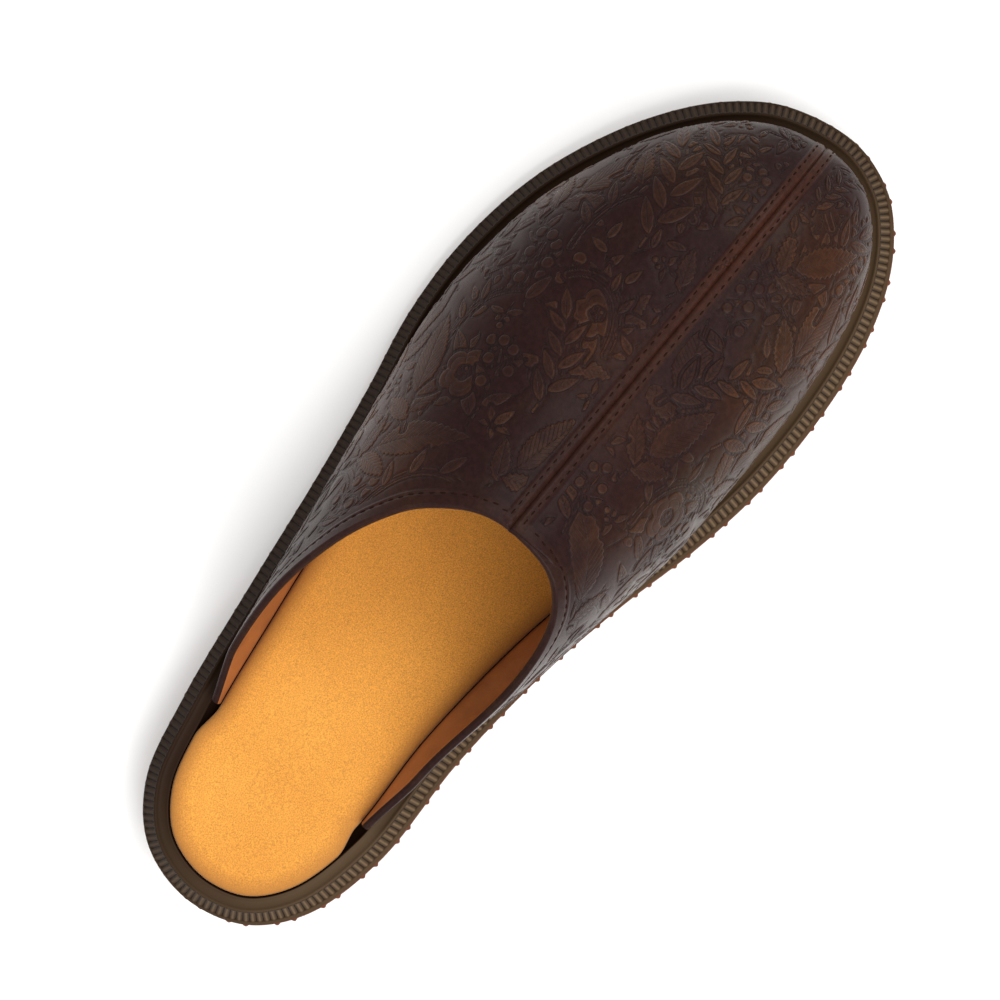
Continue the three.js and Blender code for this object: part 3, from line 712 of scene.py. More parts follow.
# %% [markdown]
# ## Distances over the leather
# A cutter measures over the leather, not through the air: so far from the seam, so far from the collar.
# A table of arcs on the last, read with straight lines between its entries, gives that distance at once
# for all points. Everything that follows is placed by these distances.

# %% Distances over the leather
ARC_AT = np.linspace(WING_END, outer_face.toe_tip, 260)
ARC_ANGLE = np.linspace(0, math.pi / 2, 240)
ARC = {}
for side in SIDES:
    sheet = outer_face.point(side, *np.meshgrid(ARC_AT, ARC_ANGLE, indexing="ij"))
    steps = np.linalg.norm(np.diff(sheet, axis=1), axis=2)
    ARC[side] = np.column_stack([np.cumsum(steps[:, ::-1], axis=1)[:, ::-1], np.zeros(len(ARC_AT))])


def arc_to_seam(side, at, angle):
    """Distance over the leather from a point to the line of the centre seam."""
    i = np.clip((at - ARC_AT[0]) / (ARC_AT[1] - ARC_AT[0]), 0, len(ARC_AT) - 1.001)
    j = np.clip(angle / ARC_ANGLE[1], 0, len(ARC_ANGLE) - 1.001)
    a, b, table = i.astype(int), j.astype(int), ARC[side]
    ti, tj = i - a, j - b
    low = table[a, b] * (1 - tj) + table[a, b + 1] * tj
    high = table[a + 1, b] * (1 - tj) + table[a + 1, b + 1] * tj
    return low * (1 - ti) + high * ti


def collar_line(side):
    at = THROAT - (THROAT - WING_END) * np.linspace(1, 0, 140) ** THROAT_CROWDING
    return outer_face.point(side, at, outer_face.top_angle(side, at))


print("feather edge to seam at the ball:",
      {SIDES[s]: round(float(arc_to_seam(s, np.array(200.0), np.array(0.0))), 1) for s in SIDES}, "mm")

# %% [markdown]
# ## One half, measured
# This small class keeps the grid of a half with its distances. The plate doesn't press everywhere: the
# strips beside the seam, the collar's fold and the lowest edge stay plain, as on the real leather, where
# they are folded or sewn.

# %% One half, measured
COLLAR_FOLD, SEAM_STRIP, COLLAR_REACH, SIDE_SPAN = 4.4, 3.1, 16, 60


class HalfGrid:
    """Grid on the outer face of one half, with its normals and its distances in millimetres."""

    def __init__(self, side):
        self.side = side
        self.at, angle, self.points = face_grid(outer_face, side, WALL_ROWS)
        self.normal = grid_normals(self.points, side)
        self.arc = arc_to_seam(side, self.at, angle)
        self.foot = arc_to_seam(side, self.at, angle * 0)
        self.share = self.arc / np.maximum(self.foot, 1e-6)
        self.up = self.foot - self.arc
        self.to_collar = np.full(self.at.shape, 99.0)
        near = self.at < THROAT + COLLAR_REACH
        spots = self.points[near]
        self.to_collar[near] = np.min([np.linalg.norm(spots - c, axis=1) for c in collar_line(side)], axis=0)
        free = smoothstep(self.up, 2.5, 6) * smoothstep(self.arc, SEAM_STRIP + 0.6, SEAM_STRIP + 2.2)
        self.pressable = free * smoothstep(self.to_collar, COLLAR_FOLD + 0.8, COLLAR_FOLD + 2.6)

    def nearest(self, at, share):
        """Row and column of the point nearest to a station and a share of the way down the side."""
        away = (self.at - at) ** 2 + (SIDE_SPAN * (self.share - share)) ** 2
        return np.unravel_index(np.argmin(away), away.shape)


grids = {side: HalfGrid(side) for side in SIDES}
print("share of the leather under the plate:",
      {SIDES[s]: round(float(grid.pressable.mean()), 2) for s, grid in grids.items()})

# %% [markdown]
# ## Pressing the plate
# Each motif of the bands is pressed in turn. After that the barest spots are looked for and a small
# filler goes into each, turned by the golden angle so that neighbours differ: five leaves fanned from
# one point, or three berries between two leaves.

# %% Pressing the plate
MOTIF_REACH, SAME_WAY, FILLERS, GOLDEN_ANGLE, EDGE_CAP = 62, 0.25, 16, 137.5, 3.0


def sprig(plate, u, w, size, bend):
    for turn, length in ((2.3, 8), (-2.3, 8), (1.15, 10), (-1.15, 10), (0.0, 12)):
        plate.leaf(*turned(u, w, 0, 0, turn), length * size, 0.4 * length * size)


def posy(plate, u, w, size, bend):
    plate.line(u, w, [(-9 * size, -2 * size), (-4 * size, -0.5 * size), (0, 0)], half=0.35)
    for turn in (1.9, -1.9):
        plate.leaf(*turned(u, w, -2 * size, 0, turn), 10 * size, 4 * size)
    for berry_u, berry_w in ((1, 2.1), (1, -2.1), (4.4, 0)):
        plate.berry(u - berry_u * size, w - berry_w * size, 1.9 * size)


def press(grid, plate, motif, spot, heading, size, bend):
    """Draws one motif on the plane that touches the grid at a spot."""
    i, j = spot
    out = grid.normal[i, j]
    forward = grid.points[min(i + 3, len(grid.points) - 2), j] - grid.points[max(i - 3, 0), j]
    forward = forward - out * (forward @ out)
    forward /= np.linalg.norm(forward)
    down = np.cross(out, forward) * -grid.side
    offset = grid.points.reshape(-1, 3) - grid.points[i, j]
    facing = grid.normal.reshape(-1, 3) @ out > SAME_WAY
    close = (np.linalg.norm(offset, axis=1) < MOTIF_REACH * size) & facing
    local = Plate(plate.edge[close], plate.rib[close], plate.vein[close])
    u, w = turned(offset[close] @ forward, offset[close] @ down, 0, 0, math.radians(heading))
    motif(local, u, w, size, bend)
    plate.edge[close], plate.rib[close], plate.vein[close] = local.edge, local.rib, local.vein


def pressed_plate(grid):
    """The whole pattern of one half: its bands of motifs, then the fillers."""
    shape, count = grid.at.shape, grid.at.size
    plate = Plate(np.full(count, FAR_EDGE), np.full(count, NO_RIB), np.full(count, NO_VEIN))
    for motif, at, share, heading, size, bend in motif_rows(grid.side):
        press(grid, plate, motif, grid.nearest(at, share), heading, size, bend)
    for n in range(FILLERS):
        bare = np.where(grid.pressable > 0.5, plate.edge.reshape(shape), 0)
        spot = np.unravel_index(np.argmax(bare), shape)
        size = float(np.clip(bare[spot] / 9, 0.5, 0.9))
        press(grid, plate, (sprig, posy)[n % 2], spot, GOLDEN_ANGLE * n, size, 0.0)
    edge = np.minimum(plate.edge.reshape(shape) + 4 * (1 - grid.pressable), EDGE_CAP)
    return Plate(edge, plate.rib.reshape(shape), plate.vein.reshape(shape))


plates = {side: pressed_plate(grid) for side, grid in grids.items()}
print("share inside motifs:", {SIDES[s]: round(float((p.edge < 0).mean()), 2) for s, p in plates.items()})

# %% [markdown]
# ## Relief of the leather
# The mesh takes the part of the pressing that is wide enough for it: pillows a fifth of a millimetre high,
# their rims and the dents round them. The strips beside the centre seam and the collar's fold stand up,
# the seam lies in a groove between them, and each row of stitches pulls a shallow dent.

# %% Relief of the leather
PILLOW_RISE, LINE_CUT, RIM_RISE, OUTLINE_CUT = 0.17, 0.08, 0.06, 0.13
STRIP_RISE, SEAM_DEPTH, STITCH_DENT = 0.45, 0.65, 0.2
SEAM_STITCH, COLLAR_STITCH = 2.35, 3.4


def bell(value, width):
    return np.exp(-((value / width) ** 2))


def pressing(plate):
    to_vein = np.abs(plate.vein - np.round(plate.vein)) * VEIN_PITCH
    lines = bell(np.minimum(plate.rib, to_vein), 0.4) * smoothstep(-plate.edge, 0.1, 0.6)
    height = PILLOW_RISE * smoothstep(-plate.edge, -0.1, 0.8) - LINE_CUT * lines
    return height + RIM_RISE * bell(plate.edge + 0.5, 0.35) - OUTLINE_CUT * bell(plate.edge - 0.15, 0.4)


def strips(grid):
    """How far each point lies on the strips beside the seam and on the collar's fold, from 0 to 1."""
    seam = smoothstep(SEAM_STRIP + 0.5 - grid.arc, 0, 0.9) * smoothstep(grid.at, THROAT - 1, THROAT + 2)
    fold = smoothstep(COLLAR_FOLD + 0.5 - grid.to_collar, 0, 0.9) * smoothstep(grid.up, 0, 5)
    return seam, fold


def sewing(grid):
    """Strips and fold stand up; the seam and the rows of stitches lie in grooves."""
    seam, fold = strips(grid)
    on_seam = grid.at >= THROAT - 0.01
    lift = STRIP_RISE * np.maximum(seam, 0.5 * fold) - SEAM_DEPTH * bell(grid.arc, 0.5) * on_seam
    lift -= STITCH_DENT * bell(grid.arc - SEAM_STITCH, 0.45) * smoothstep(grid.at, THROAT, THROAT + 3)
    lift *= np.minimum(1, grid.foot / 30)
    return lift - STITCH_DENT * bell(grid.to_collar - COLLAR_STITCH, 0.45) * smoothstep(grid.up, 3, 7)


print("deepest groove:", round(float(sewing(grids[1]).min()), 2), "mm")

# %% [markdown]
# ## Creases and colour patches
# Soft troughs come from wear and from lasting: the leather dips where the vamp bends over the toes, and
# puckers a little where it is pulled down to the rim. Wax leaves olive patches, which on the inner side
# are also painted light, and rubbing warm russet ones. Each is a row given in the shoe's own sizes, which
# is easier to move than a sculpt.

# %% Creases and colour patches
# Station, share of the way down the side, length and width of the trough, turn in degrees, depth
CREASES = {
    1: [(188, 0.45, 16, 3.2, 75, 0.30), (200, 0.62, 14, 2.8, 62, 0.28), (176, 0.72, 13, 3.0, 70, 0.25),
        (262, 0.86, 6, 1.4, 40, 0.22), (248, 0.90, 7, 1.5, 20, 0.20), (120, 0.75, 12, 3.4, 30, 0.30)],
    -1: [(190, 0.45, 15, 3.0, 105, 0.30), (178, 0.66, 14, 2.8, 112, 0.28), (204, 0.70, 12, 2.6, 100, 0.25),
         (150, 0.92, 9, 2.2, 15, 0.30), (160, 0.86, 8, 1.8, 10, 0.26), (112, 0.78, 12, 3.2, 150, 0.30)],
}
RIDGE_SHARE, RIDGE_PLACE = 0.45, 1.7
# Patches of olive tone, which on the inner side are also painted light: station, share down the side, radius
# in millimetres, strength
OLIVE_TONES_AND_LIGHT = {
    1: [(235, 0.5, 34, 0.12), (150, 0.25, 22, 0.10), (120, 0.9, 22, 0.35), (195, 0.28, 30, -0.35)],
    -1: [(172, 0.10, 20, -0.25), (175, 0.6, 34, 0.55), (215, 0.75, 30, 0.65), (150, 0.9, 26, 0.6),
         (255, 0.6, 24, 0.4)],
}
# Patches rubbed to a warm russet, in the same columns
WARMTH = {
    1: [(134, 0.50, 17, 0.9), (154, 0.80, 20, 0.8), (180, 0.62, 15, 0.5), (248, 0.62, 18, 0.2),
        (226, 0.86, 15, 0.5), (196, 0.14, 12, 0.3)],
    -1: [(182, 0.12, 13, 0.4), (206, 0.46, 16, 0.5), (236, 0.70, 18, 0.7), (160, 0.40, 14, 0.4),
         (258, 0.40, 16, 0.5)],
}


def creasing(grid):
    """Troughs with a low ridge on both sides."""
    height = np.zeros(grid.at.shape)
    for at, share, long, wide, turn, depth in CREASES[grid.side]:
        along, across = turned(grid.at, (grid.share - share) * grid.foot, at, 0, math.radians(turn))
        ridges = RIDGE_SHARE * bell(np.abs(across / wide) - RIDGE_PLACE, 1)
        height -= depth * bell(along, long) * (bell(across, wide) - ridges)
    return height * smoothstep(grid.up, 1, 5) * smoothstep(grid.arc, 4, 9)


def patches(grid, table):
    tint = np.zeros(grid.at.shape)
    for at, share, radius, strength in table[grid.side]:
        tint += strength * bell(np.hypot(grid.at - at, (grid.share - share) * grid.foot), radius)
    return tint


print("creases:", {SIDES[s]: len(rows) for s, rows in CREASES.items()})

# %% [markdown]
# ## A mesh piece
# A piece of the shoe is arrays of points and faces. This helper turns them into an object, moves it from
# the shoemaker's millimetres into the CAD frame in metres, stores numbers for its material, and lets it
# ride on the shoe's one body.

# %% A mesh piece
SOLE_ORIGIN = np.array([-144.482, -4.172, 0.0])


def make_piece(name, points, faces, materials, node=None, values=None, face_material=None):
    mesh = bpy.data.meshes.new(name)
    mesh.from_pydata(((points + SOLE_ORIGIN) / 1000).tolist(), [], faces)
    mesh.update()
    for key, numbers in (values or {}).items():
        layer = mesh.attributes.new(key, "FLOAT", "POINT")
        layer.data.foreach_set("value", np.asarray(numbers, np.float32))
    for material in materials:
        mesh.materials.append(material)
    if face_material is not None:
        mesh.polygons.foreach_set("material_index", np.asarray(face_material, np.int32))
    mesh.shade_smooth()
    piece = bpy.data.objects.new(name, mesh)
    bpy.context.collection.objects.link(piece)
    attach(piece, "root")
    if node:
        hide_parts(node)
    print(f"{name}: {len(points)} points, {sum(len(face) - 2 for face in faces)} triangles")
    return piece


print("heel's back lies at", (SOLE_ORIGIN / 1000).tolist(), "in the frame")

# %% [markdown]
# ## Closing a half
# Each half is a closed sheet with the leather's real thickness: the fine outer face, a rounded fold over
# the collar's edge, and a coarse lining face. A solidify modifier would double the fine grid, so the
# lining gets its own few rows. All rows run into one point at the toe's tip.

# %% Closing a half
LINING_ROWS, FOLD_ROWS, FOLD_BULGE = 20, 4, 0.95
FIRST_LINING = WALL_ROWS + FOLD_ROWS


def fold_rows(edge, lining_edge, side):
    """Rows over the collar's edge, from the outer face to the lining."""
    lip = np.cross(np.gradient(edge, axis=0), edge - lining_edge) * side
    lip /= np.maximum(np.linalg.norm(lip, axis=1), TINY)[:, None]
    bulge = lip * (np.arange(len(edge)) <= WING_ROWS)[:, None] * FOLD_BULGE
    turns = math.pi * np.arange(1, FOLD_ROWS + 1) / (FOLD_ROWS + 1)
    middle, half = (edge + lining_edge) / 2, (edge - lining_edge) / 2
    return [middle + half * math.cos(turn) + bulge * math.sin(turn) for turn in turns]


def sheet_faces(rows, columns, side):
    """Faces round the sheet, and 1 for each that is lining."""
    number = np.arange(rows * columns).reshape(rows, columns)
    number[-1, : FIRST_LINING + 1], number[-1, FIRST_LINING + 1 :] = number[-1, 0], number[-1, -1]
    number = number.tolist()
    faces, skins = [number[0][::-side]], [0]
    for lower, upper in zip(number[:-1], number[1:]):
        for j in range(columns):
            n = (j + 1) % columns
            corners = list(dict.fromkeys([lower[j], upper[j], upper[n], lower[n]][::-side]))
            if len(corners) > 2:
                faces.append(corners)
                skins.append(int(FIRST_LINING <= j < columns - 1))
    return faces, skins


def over_sheet(field, columns, rest=None):
    """Values of the outer face, carried on over the fold and the lining."""
    tail = field[:, -1:] if rest is None else np.full((len(field), 1), rest)
    return np.column_stack([field, np.repeat(tail, columns - field.shape[1], axis=1)]).ravel()


print("columns round the sheet:", FIRST_LINING + LINING_ROWS + 2)

# %% [markdown]
# ## The two halves of the upper
# Now the halves are made: the grid is lifted along its normals by the pressing, the sewing and the
# creases, closed, and given its stored numbers. The chestnut of the seam's strips grows towards the toe.

# %% Halves of the upper
SEAM_TONE, FOLD_TONE, LIP_TONE = (0.25, 0.5), 0.15, 0.1


def make_half(side, name):
    """Makes one half and gives the points of its outer face."""
    grid, plate = grids[side], plates[side]
    outer = grid.points + grid.normal * (pressing(plate) + sewing(grid) + creasing(grid))[..., None]
    inner = face_grid(inner_face, side, LINING_ROWS)[2]
    fold = np.stack(fold_rows(outer[:, -1], inner[:, -1], side), axis=1)
    sheet = np.concatenate([outer, fold, inner[:, ::-1]], axis=1)
    rows, columns = sheet.shape[:2]
    faces, skins = sheet_faces(rows, columns, side)
    on_seam, on_fold = strips(grid)
    on_seam = on_seam * (SEAM_TONE[0] + SEAM_TONE[1] * smoothstep(grid.at, 165, 250))
    values = {
        "press_edge": over_sheet(plate.edge, columns, EDGE_CAP),
        "press_rib": over_sheet(plate.rib, columns, NO_RIB),
        "press_vein": over_sheet(plate.vein, columns, NO_VEIN),
        "strip": over_sheet(np.maximum(on_seam, FOLD_TONE * on_fold), columns, LIP_TONE),
        # Olive tone, partly painted light that lightens the inner side
        "olive_tone_and_light": over_sheet(patches(grid, OLIVE_TONES_AND_LIGHT), columns),
        "warm": over_sheet(patches(grid, WARMTH), columns),
    }
    used, places = np.unique(np.concatenate(faces), return_inverse=True)
    faces = [part.tolist() for part in np.split(places, np.cumsum([len(face) for face in faces])[:-1])]
    values = {key: field[used] for key, field in values.items()}
    make_piece(name, sheet.reshape(-1, 3)[used], faces, [leather, lining], "upper",
               values, skins)
    return outer


leather_face = {side: make_half(side, f"upper_{word}_half") for side, word in ((-1, "inner"), (1, "outer"))}

# %% [markdown]
# ## Thread and stitch
# The seams are sewn with dark waxed thread. A stitch is a short round bar whose ends dip into the
# leather. Bevelled curves would do, but hundreds of small capsules in one joined mesh are lighter.

# %% Thread and stitch
STITCH_PITCH, STITCH_LENGTH, THREAD_RADIUS = 3.1, 2.2, 0.22
STITCH_RINGS, RING_POINTS, END_THICKNESS, FLATNESS = 5, 6, 0.35, 0.8
STITCH_LIFT, END_DIP = 0.1, 0.3


def waxed_thread():
    """Bonded polyester thread with wax: dark, dull, twisted."""
    material, tree, shader, _, colour = clouded("waxed_polyester_thread", 0.4, 2.0, "#160b08", "#27150f")
    fill(tree, shader, {"Base Color": colour, "Roughness": 0.75, "Specular IOR Level": 0.03})
    return material


def quads(lower, upper, closed=False):
    """Faces between two rows of point numbers."""
    if closed:
        lower, upper = np.append(lower, lower[0]), np.append(upper, upper[0])
    return np.column_stack([lower[:-1], lower[1:], upper[1:], upper[:-1]]).tolist()


def capsule(middle, along, out):
    """Points of one stitch: rings of a bar, thinner and deeper towards its ends."""
    t = np.linspace(-1, 1, STITCH_RINGS)[:, None, None]
    a = math.tau * np.arange(RING_POINTS)[:, None] / RING_POINTS
    thick = THREAD_RADIUS * (END_THICKNESS + (1 - END_THICKNESS) * np.sqrt(1 - t**4))
    ring = np.cos(a) * np.cross(out, along) + FLATNESS * np.sin(a) * out
    axis = middle + along * t * STITCH_LENGTH / 2 + out * (STITCH_LIFT - END_DIP * t * t)
    return (axis + thick * ring).reshape(-1, 3)


ring_row = np.arange(RING_POINTS)
STITCH_FACES = [ring_row[::-1].tolist(), (ring_row + (STITCH_RINGS - 1) * RING_POINTS).tolist()]
for k in range(STITCH_RINGS - 1):
    STITCH_FACES += quads(ring_row + k * RING_POINTS, ring_row + (k + 1) * RING_POINTS, closed=True)
print("faces of a stitch:", len(STITCH_FACES))

# %% [markdown]
# ## Rows of stitches
# Two rows run beside the centre seam and one inside the collar's fold. Each row is a path of points on
# the leather itself, found by its distance from the seam or the collar, so the stitches sit on the
# strips whatever their height. The stitches are then spaced evenly along the path.

# %% Rows of stitches
def sewn_paths(side):
    """Points and normals along the row beside the seam and the row in the collar's fold."""
    grid, outer = grids[side], leather_face[side]
    points, normals, columns = outer.reshape(-1, 3), grid.normal.reshape(-1, 3), outer.shape[1]
    beside = range(WING_ROWS + 4, len(outer) - 30, 2)
    seam = [i * columns + int(np.argmin(np.abs(grid.arc[i] - SEAM_STITCH))) for i in beside]
    tree = KDTree(len(points))
    for k, spot in enumerate(points):
        tree.insert(spot, k)
    tree.balance()
    line, fold = collar_line(side), []
    for k in range(8, len(line) - 2):
        inward = np.cross(normals[tree.find(line[k])[1]], line[k + 1] - line[k - 1]) * side
        inward *= COLLAR_STITCH / np.linalg.norm(inward)
        fold.append(tree.find(line[k] + inward)[1])
    return [(points[row], normals[row]) for row in (seam, fold)]


stitches = []
for side in SIDES:
    for path, normals in sewn_paths(side):
        run = path_run(path)
        for place in np.arange(STITCH_PITCH / 2, run[-1], STITCH_PITCH):
            along = sample(place + 1, run, path) - sample(place - 1, run, path)
            out = sample(place, run, normals)
            stitches.append(capsule(sample(place, run, path), along / np.linalg.norm(along),
                                    out / np.linalg.norm(out)))
stitch_faces = [[v + n * STITCH_RINGS * RING_POINTS for v in face]
                for n in range(len(stitches)) for face in STITCH_FACES]
make_piece("upper_stitching", np.vstack(stitches), stitch_faces, [waxed_thread()])

# %% [markdown]
# ## Rubber of the rim
# The rim is injection-moulded rubber, olive-brown and dull. The crests of its ribs are painted paler, part
# polish and part painted highlight, and the gaps between them are painted dark as painted shade, both
# strongest on the inner side, where the key lamp is. Two numbers stored on the mesh say where.

# %% Rubber of the rim
def moulded_rubber():
    """Injection-moulded rubber: olive-brown and dull, with crests painted paler by polish and painted
    highlight, and painted shade in the gaps.
    """
    material, tree, shader, place, colour = clouded("moulded_olive_rubber", 14, 4.0, "#1a100a", "#261810")
    # Paler crests: part polish, part painted highlight, with painted light in the gutter. Dark gaps: painted
    # shade between the ribs
    for key, shade in (("polish_and_painted_light", "#755f46"), ("cut", "#0c0805")):
        amount = add(tree, "Attribute", out="Fac", attribute_name=key)
        colour = add(tree, "Mix", {"Factor": amount, 6: colour, 7: linear(shade)}, **RGBA)
    _, bump = grained(tree, place, 0.5, 2.0, 0.15, 0.0001)
    fill(tree, shader, {"Base Color": colour, "Normal": bump, "Roughness": 0.38, "Specular IOR Level": 0.03})
    return material


rubber = moulded_rubber()
print("rim:", rubber.name)

# %% [markdown]
# ## Sweeping a section round the sole
# Rim, footbed and outsole are sections swept round the same outline. Blender's own bevel would twist
# where the toe turns tightly, so each row of a section becomes a ring of points on the outline, moved
# inwards, and faces join the rings. Flat strips from side to side close the ends.

# %% Sweeping a section
def ring_at(share, inset, height):
    place, _ = outline_at(share, inset)
    return np.column_stack([place, seat_height(place[:, 0]) + height])


def strip_cap(ring, up):
    """Flat faces from one side of the sole to the other, inside an even ring of point numbers."""
    n, faces, ring = len(ring), [], ring.tolist()
    for k in range(n // 2):
        strip = list(dict.fromkeys([ring[k], ring[(k + 1) % n], ring[(n - k - 1) % n], ring[(n - k) % n]]))
        faces.append(strip if up else strip[::-1])
    return faces


def swept_faces(rings, count, top=True):
    """Faces between closed rings of so many points, with a cap below and, if asked, one on top."""
    row, faces = np.arange(count), []
    for k in range(rings - 1):
        faces += quads(row + k * count, row + (k + 1) * count, closed=True)
    faces += strip_cap(row, up=False)
    return faces + strip_cap(row + (rings - 1) * count, up=True) if top else faces


print("a ring 5 mm inside the edge is",
      round(float(path_run(ring_at(np.linspace(0, 1, 400), 5.0, 0.0))[-1])), "mm long")

# %% [markdown]
# ## The ribbed rim
# The rim has upright ribs all round, a bead along its top edge and a gutter that meets the leather. The
# CAD ribs are sharp; here each is a soft round bar with a narrow groove beside it. An array modifier
# along a curve would drift at the tight toe, so the ribs are a wave on the rim's own section.

# %% Ribbed rim
# Section from its foot to the cup's floor: inset, height over the seat, share of rib depth
RIM = [
    (1.25, 0.3, 0), (0.9, 0.5, 0), (0.8, 0.8, 0), (0.82, 1.15, 0), (1.0, 1.45, 0), (1.1, 1.7, 0.4),
    (1.35, 2.05, 1), (1.9, 2.8, 1), (2.6, 3.75, 1), (3.3, 4.75, 1), (3.9, 5.55, 1), (4.15, 5.9, 0.5),
    (4.3, 6.15, 0), (4.5, 6.4, 0), (4.8, 6.5, 0), (5.05, 6.45, 0), (5.3, 6.2, 0), (5.6, 5.95, 0),
    (6.1, 5.8, 0), (6.8, 5.75, 0), (7.4, 5.8, 0), (7.75, 5.95, 0), (8.0, 6.1, 0), (8.25, 6.2, 0),
    (8.45, 6.05, 0), (8.5, 5.6, 0), (8.5, 2.5, 0),
]
RIB_PITCH, RIB_DEPTH, RIB_ROUNDNESS, STEPS_PER_RIB = 2.12, 0.8, 0.98, 9
# Painted highlight on the rib crests, painted light in the gutter and a paler ledge, all dimmed on the outer
# side, away from the key lamp, as painted shade
CREST_POLISH_AND_HIGHLIGHT, CREST_WIDTH, OUTER_SIDE_SHADE = 0.7, 0.34, 0.93
LEDGE_TOP, LEDGE_SHOW, LEDGE_PALENESS = 1.6, 0.85, 0.3
GUTTER, GUTTER_PAINTED_LIGHT = (4.4, 8.3), 0.3

ribs = round(EDGE_LENGTH / RIB_PITCH)
rim_share = np.arange(ribs * STEPS_PER_RIB) / (ribs * STEPS_PER_RIB)
rib_side = np.abs(2 * (rim_share * ribs % 1) - 1)
rib_cut = 1 - np.sqrt(1 - (RIB_ROUNDNESS * rib_side) ** 2)
# Painted highlight along the round top of each rib
rib_painted_highlight = 0.3 + 0.7 * bell(rib_side, CREST_WIDTH)
# 0 on the inner side of the shoe, where the ledge shows and the ribs carry the painted highlight, and 1 on
# the outer
outerness = (outline_at(rim_share)[1][:, 1] + 1) / 2
rim_points, polish_and_painted_light, cut = [], [], []
for inset, height, rib in RIM:
    ledge = LEDGE_SHOW * (1 - outerness) * float(smoothstep(-height, -LEDGE_TOP, -1.1))
    rim_points.append(ring_at(rim_share, inset + rib * RIB_DEPTH * rib_cut - ledge, height))
    # Painted highlight on the crests, painted light in the gutter, and the paler ledge
    polish_and_light = rib * rib_painted_highlight * CREST_POLISH_AND_HIGHLIGHT + GUTTER_PAINTED_LIGHT * (GUTTER[0] < inset < GUTTER[1])
    polish_and_light = polish_and_light + LEDGE_PALENESS * (height < LEDGE_TOP)
    polish_and_painted_light.append(polish_and_light * (1 - OUTER_SIDE_SHADE * outerness))
    # Painted shade in the grooves between the ribs, deeper on the inner side
    cut.append((0.95 - 0.45 * outerness) * rib * smoothstep(rib_cut, 0.36, 0.8))
make_piece("midsole_rim", np.vstack(rim_points), swept_faces(len(RIM), len(rim_share)), [rubber],
           "midsole", {"polish_and_painted_light": np.concatenate(polish_and_painted_light), "cut": np.concatenate(cut)})
print(ribs, "ribs")

# %% [markdown]
# ## Leather of the footbed
# The footbed is tan leather, sanded to a short nap, over thin foam. Nap scatters light, so it has no
# gloss, only a little sheen, and its speckle is what the eye sees first. Its rounded edge is painted
# darker, as painted shade where it dips into the gap beside the walls.

# %% Leather of the footbed
def napped_leather():
    """Tan leather, sanded to a short nap: matt, warm and speckled, with painted shade along its edge."""
    material, tree, shader, place, colour = clouded("sanded_tan_leather", 30, 3.0, "#be7a23", "#d29035")
    # A real nap is about 0.1 mm; it is drawn 0.36 mm wide so that it shows
    nap, bump = grained(tree, place, 0.36, 2.0, 0.3, 0.0002, roughness=0.7)
    speck = add(tree, "MapRange", (nap, 0.3, 0.7, 0.62, 1.36))
    colour = add(tree, "Mix", {"Factor": 1.0, 6: colour, 7: speck}, blend_type="MULTIPLY", **RGBA)
    # Painted shade down the footbed's rounded edge, where it meets the walls
    edge = add(tree, "Attribute", out="Fac", attribute_name="edge")
    colour = add(tree, "Mix", {"Factor": edge, 6: colour, 7: linear("#98601e")}, **RGBA)
    fill(tree, shader, {"Base Color": colour, "Normal": bump, "Roughness": 0.85, "Sheen Weight": 0.15})
    return material


tan_leather = napped_leather()
print("footbed:", tan_leather.name)

# %% [markdown]
# ## The footbed
# The footbed's soft edge is swept round the sole, further in where the upper's walls stand on it. Its top
# is a grid from side to side that dips slightly under the heel, where a foot has pressed it. Cloth
# physics could sag it, but one bell-shaped dip is quicker and always the same.

# %% Footbed
# Edge of the footbed from below: inset, height over the cup's floor
BED_EDGE = [(0, 0), (0, 0.6), (0, 2.0), (0.15, 2.6), (0.6, 3.2), (1.3, 3.65), (2.3, 3.95), (3.6, 4.1),
            (6, 4.0), (9, 3.8), (14, 3.6)]
BED_STEPS, BED_ACROSS, BED_INSET, BED_FLOOR = 480, 24, 8.8, CUP_FLOOR + JOINT_GAP
WALL_INSET, WALL_RAMP = FEATHER_INSET + WALL + JOINT_GAP, (WING_END - 14, WING_END - 3)
HEEL_DIP, HEEL_DIP_AT, HEEL_DIP_RADIUS = 0.7, 48, 30

bed_share = np.arange(BED_STEPS) / BED_STEPS
beside_wall = smoothstep(outline_at(bed_share)[0][:, 0], *WALL_RAMP)
bed_inset = BED_INSET + (WALL_INSET - BED_INSET) * beside_wall
bed_points = [ring_at(bed_share, bed_inset + inset, BED_FLOOR + height) for inset, height in BED_EDGE]
# Painted shade on the rounded edge, fading out between 1 and 7 mm in
bed_edge_shade = [np.full(BED_STEPS, 0.75 - 0.75 * smoothstep(inset, 1.0, 7.0)) for inset, _ in BED_EDGE]
bed_faces = swept_faces(len(BED_EDGE), BED_STEPS, top=False)
ring, ring_row = bed_points[-1], np.arange(BED_STEPS) + (len(BED_EDGE) - 1) * BED_STEPS
across = np.arange(1, BED_ACROSS)[:, None] / BED_ACROSS
next_point, bed_rows = len(BED_EDGE) * BED_STEPS, []
for k in range(1, BED_STEPS // 2):
    inner_end, outer_end = ring[k], ring[BED_STEPS - k]
    line = inner_end + (outer_end - inner_end) * across
    dip = HEEL_DIP * bell(line[:, 0] - HEEL_DIP_AT, HEEL_DIP_RADIUS) * (1 - (2 * across[:, 0] - 1) ** 2)
    dip *= smoothstep(np.linalg.norm(outer_end - inner_end), 4, 44)
    line[:, 2] = seat_height(line[:, 0]) + BED_FLOOR + BED_EDGE[-1][1] - dip
    bed_points.append(line)
    bed_edge_shade.append(np.zeros(len(line)))
    bed_rows.append([ring_row[k], *range(next_point, next_point + len(line)), ring_row[BED_STEPS - k]])
    next_point += len(line)
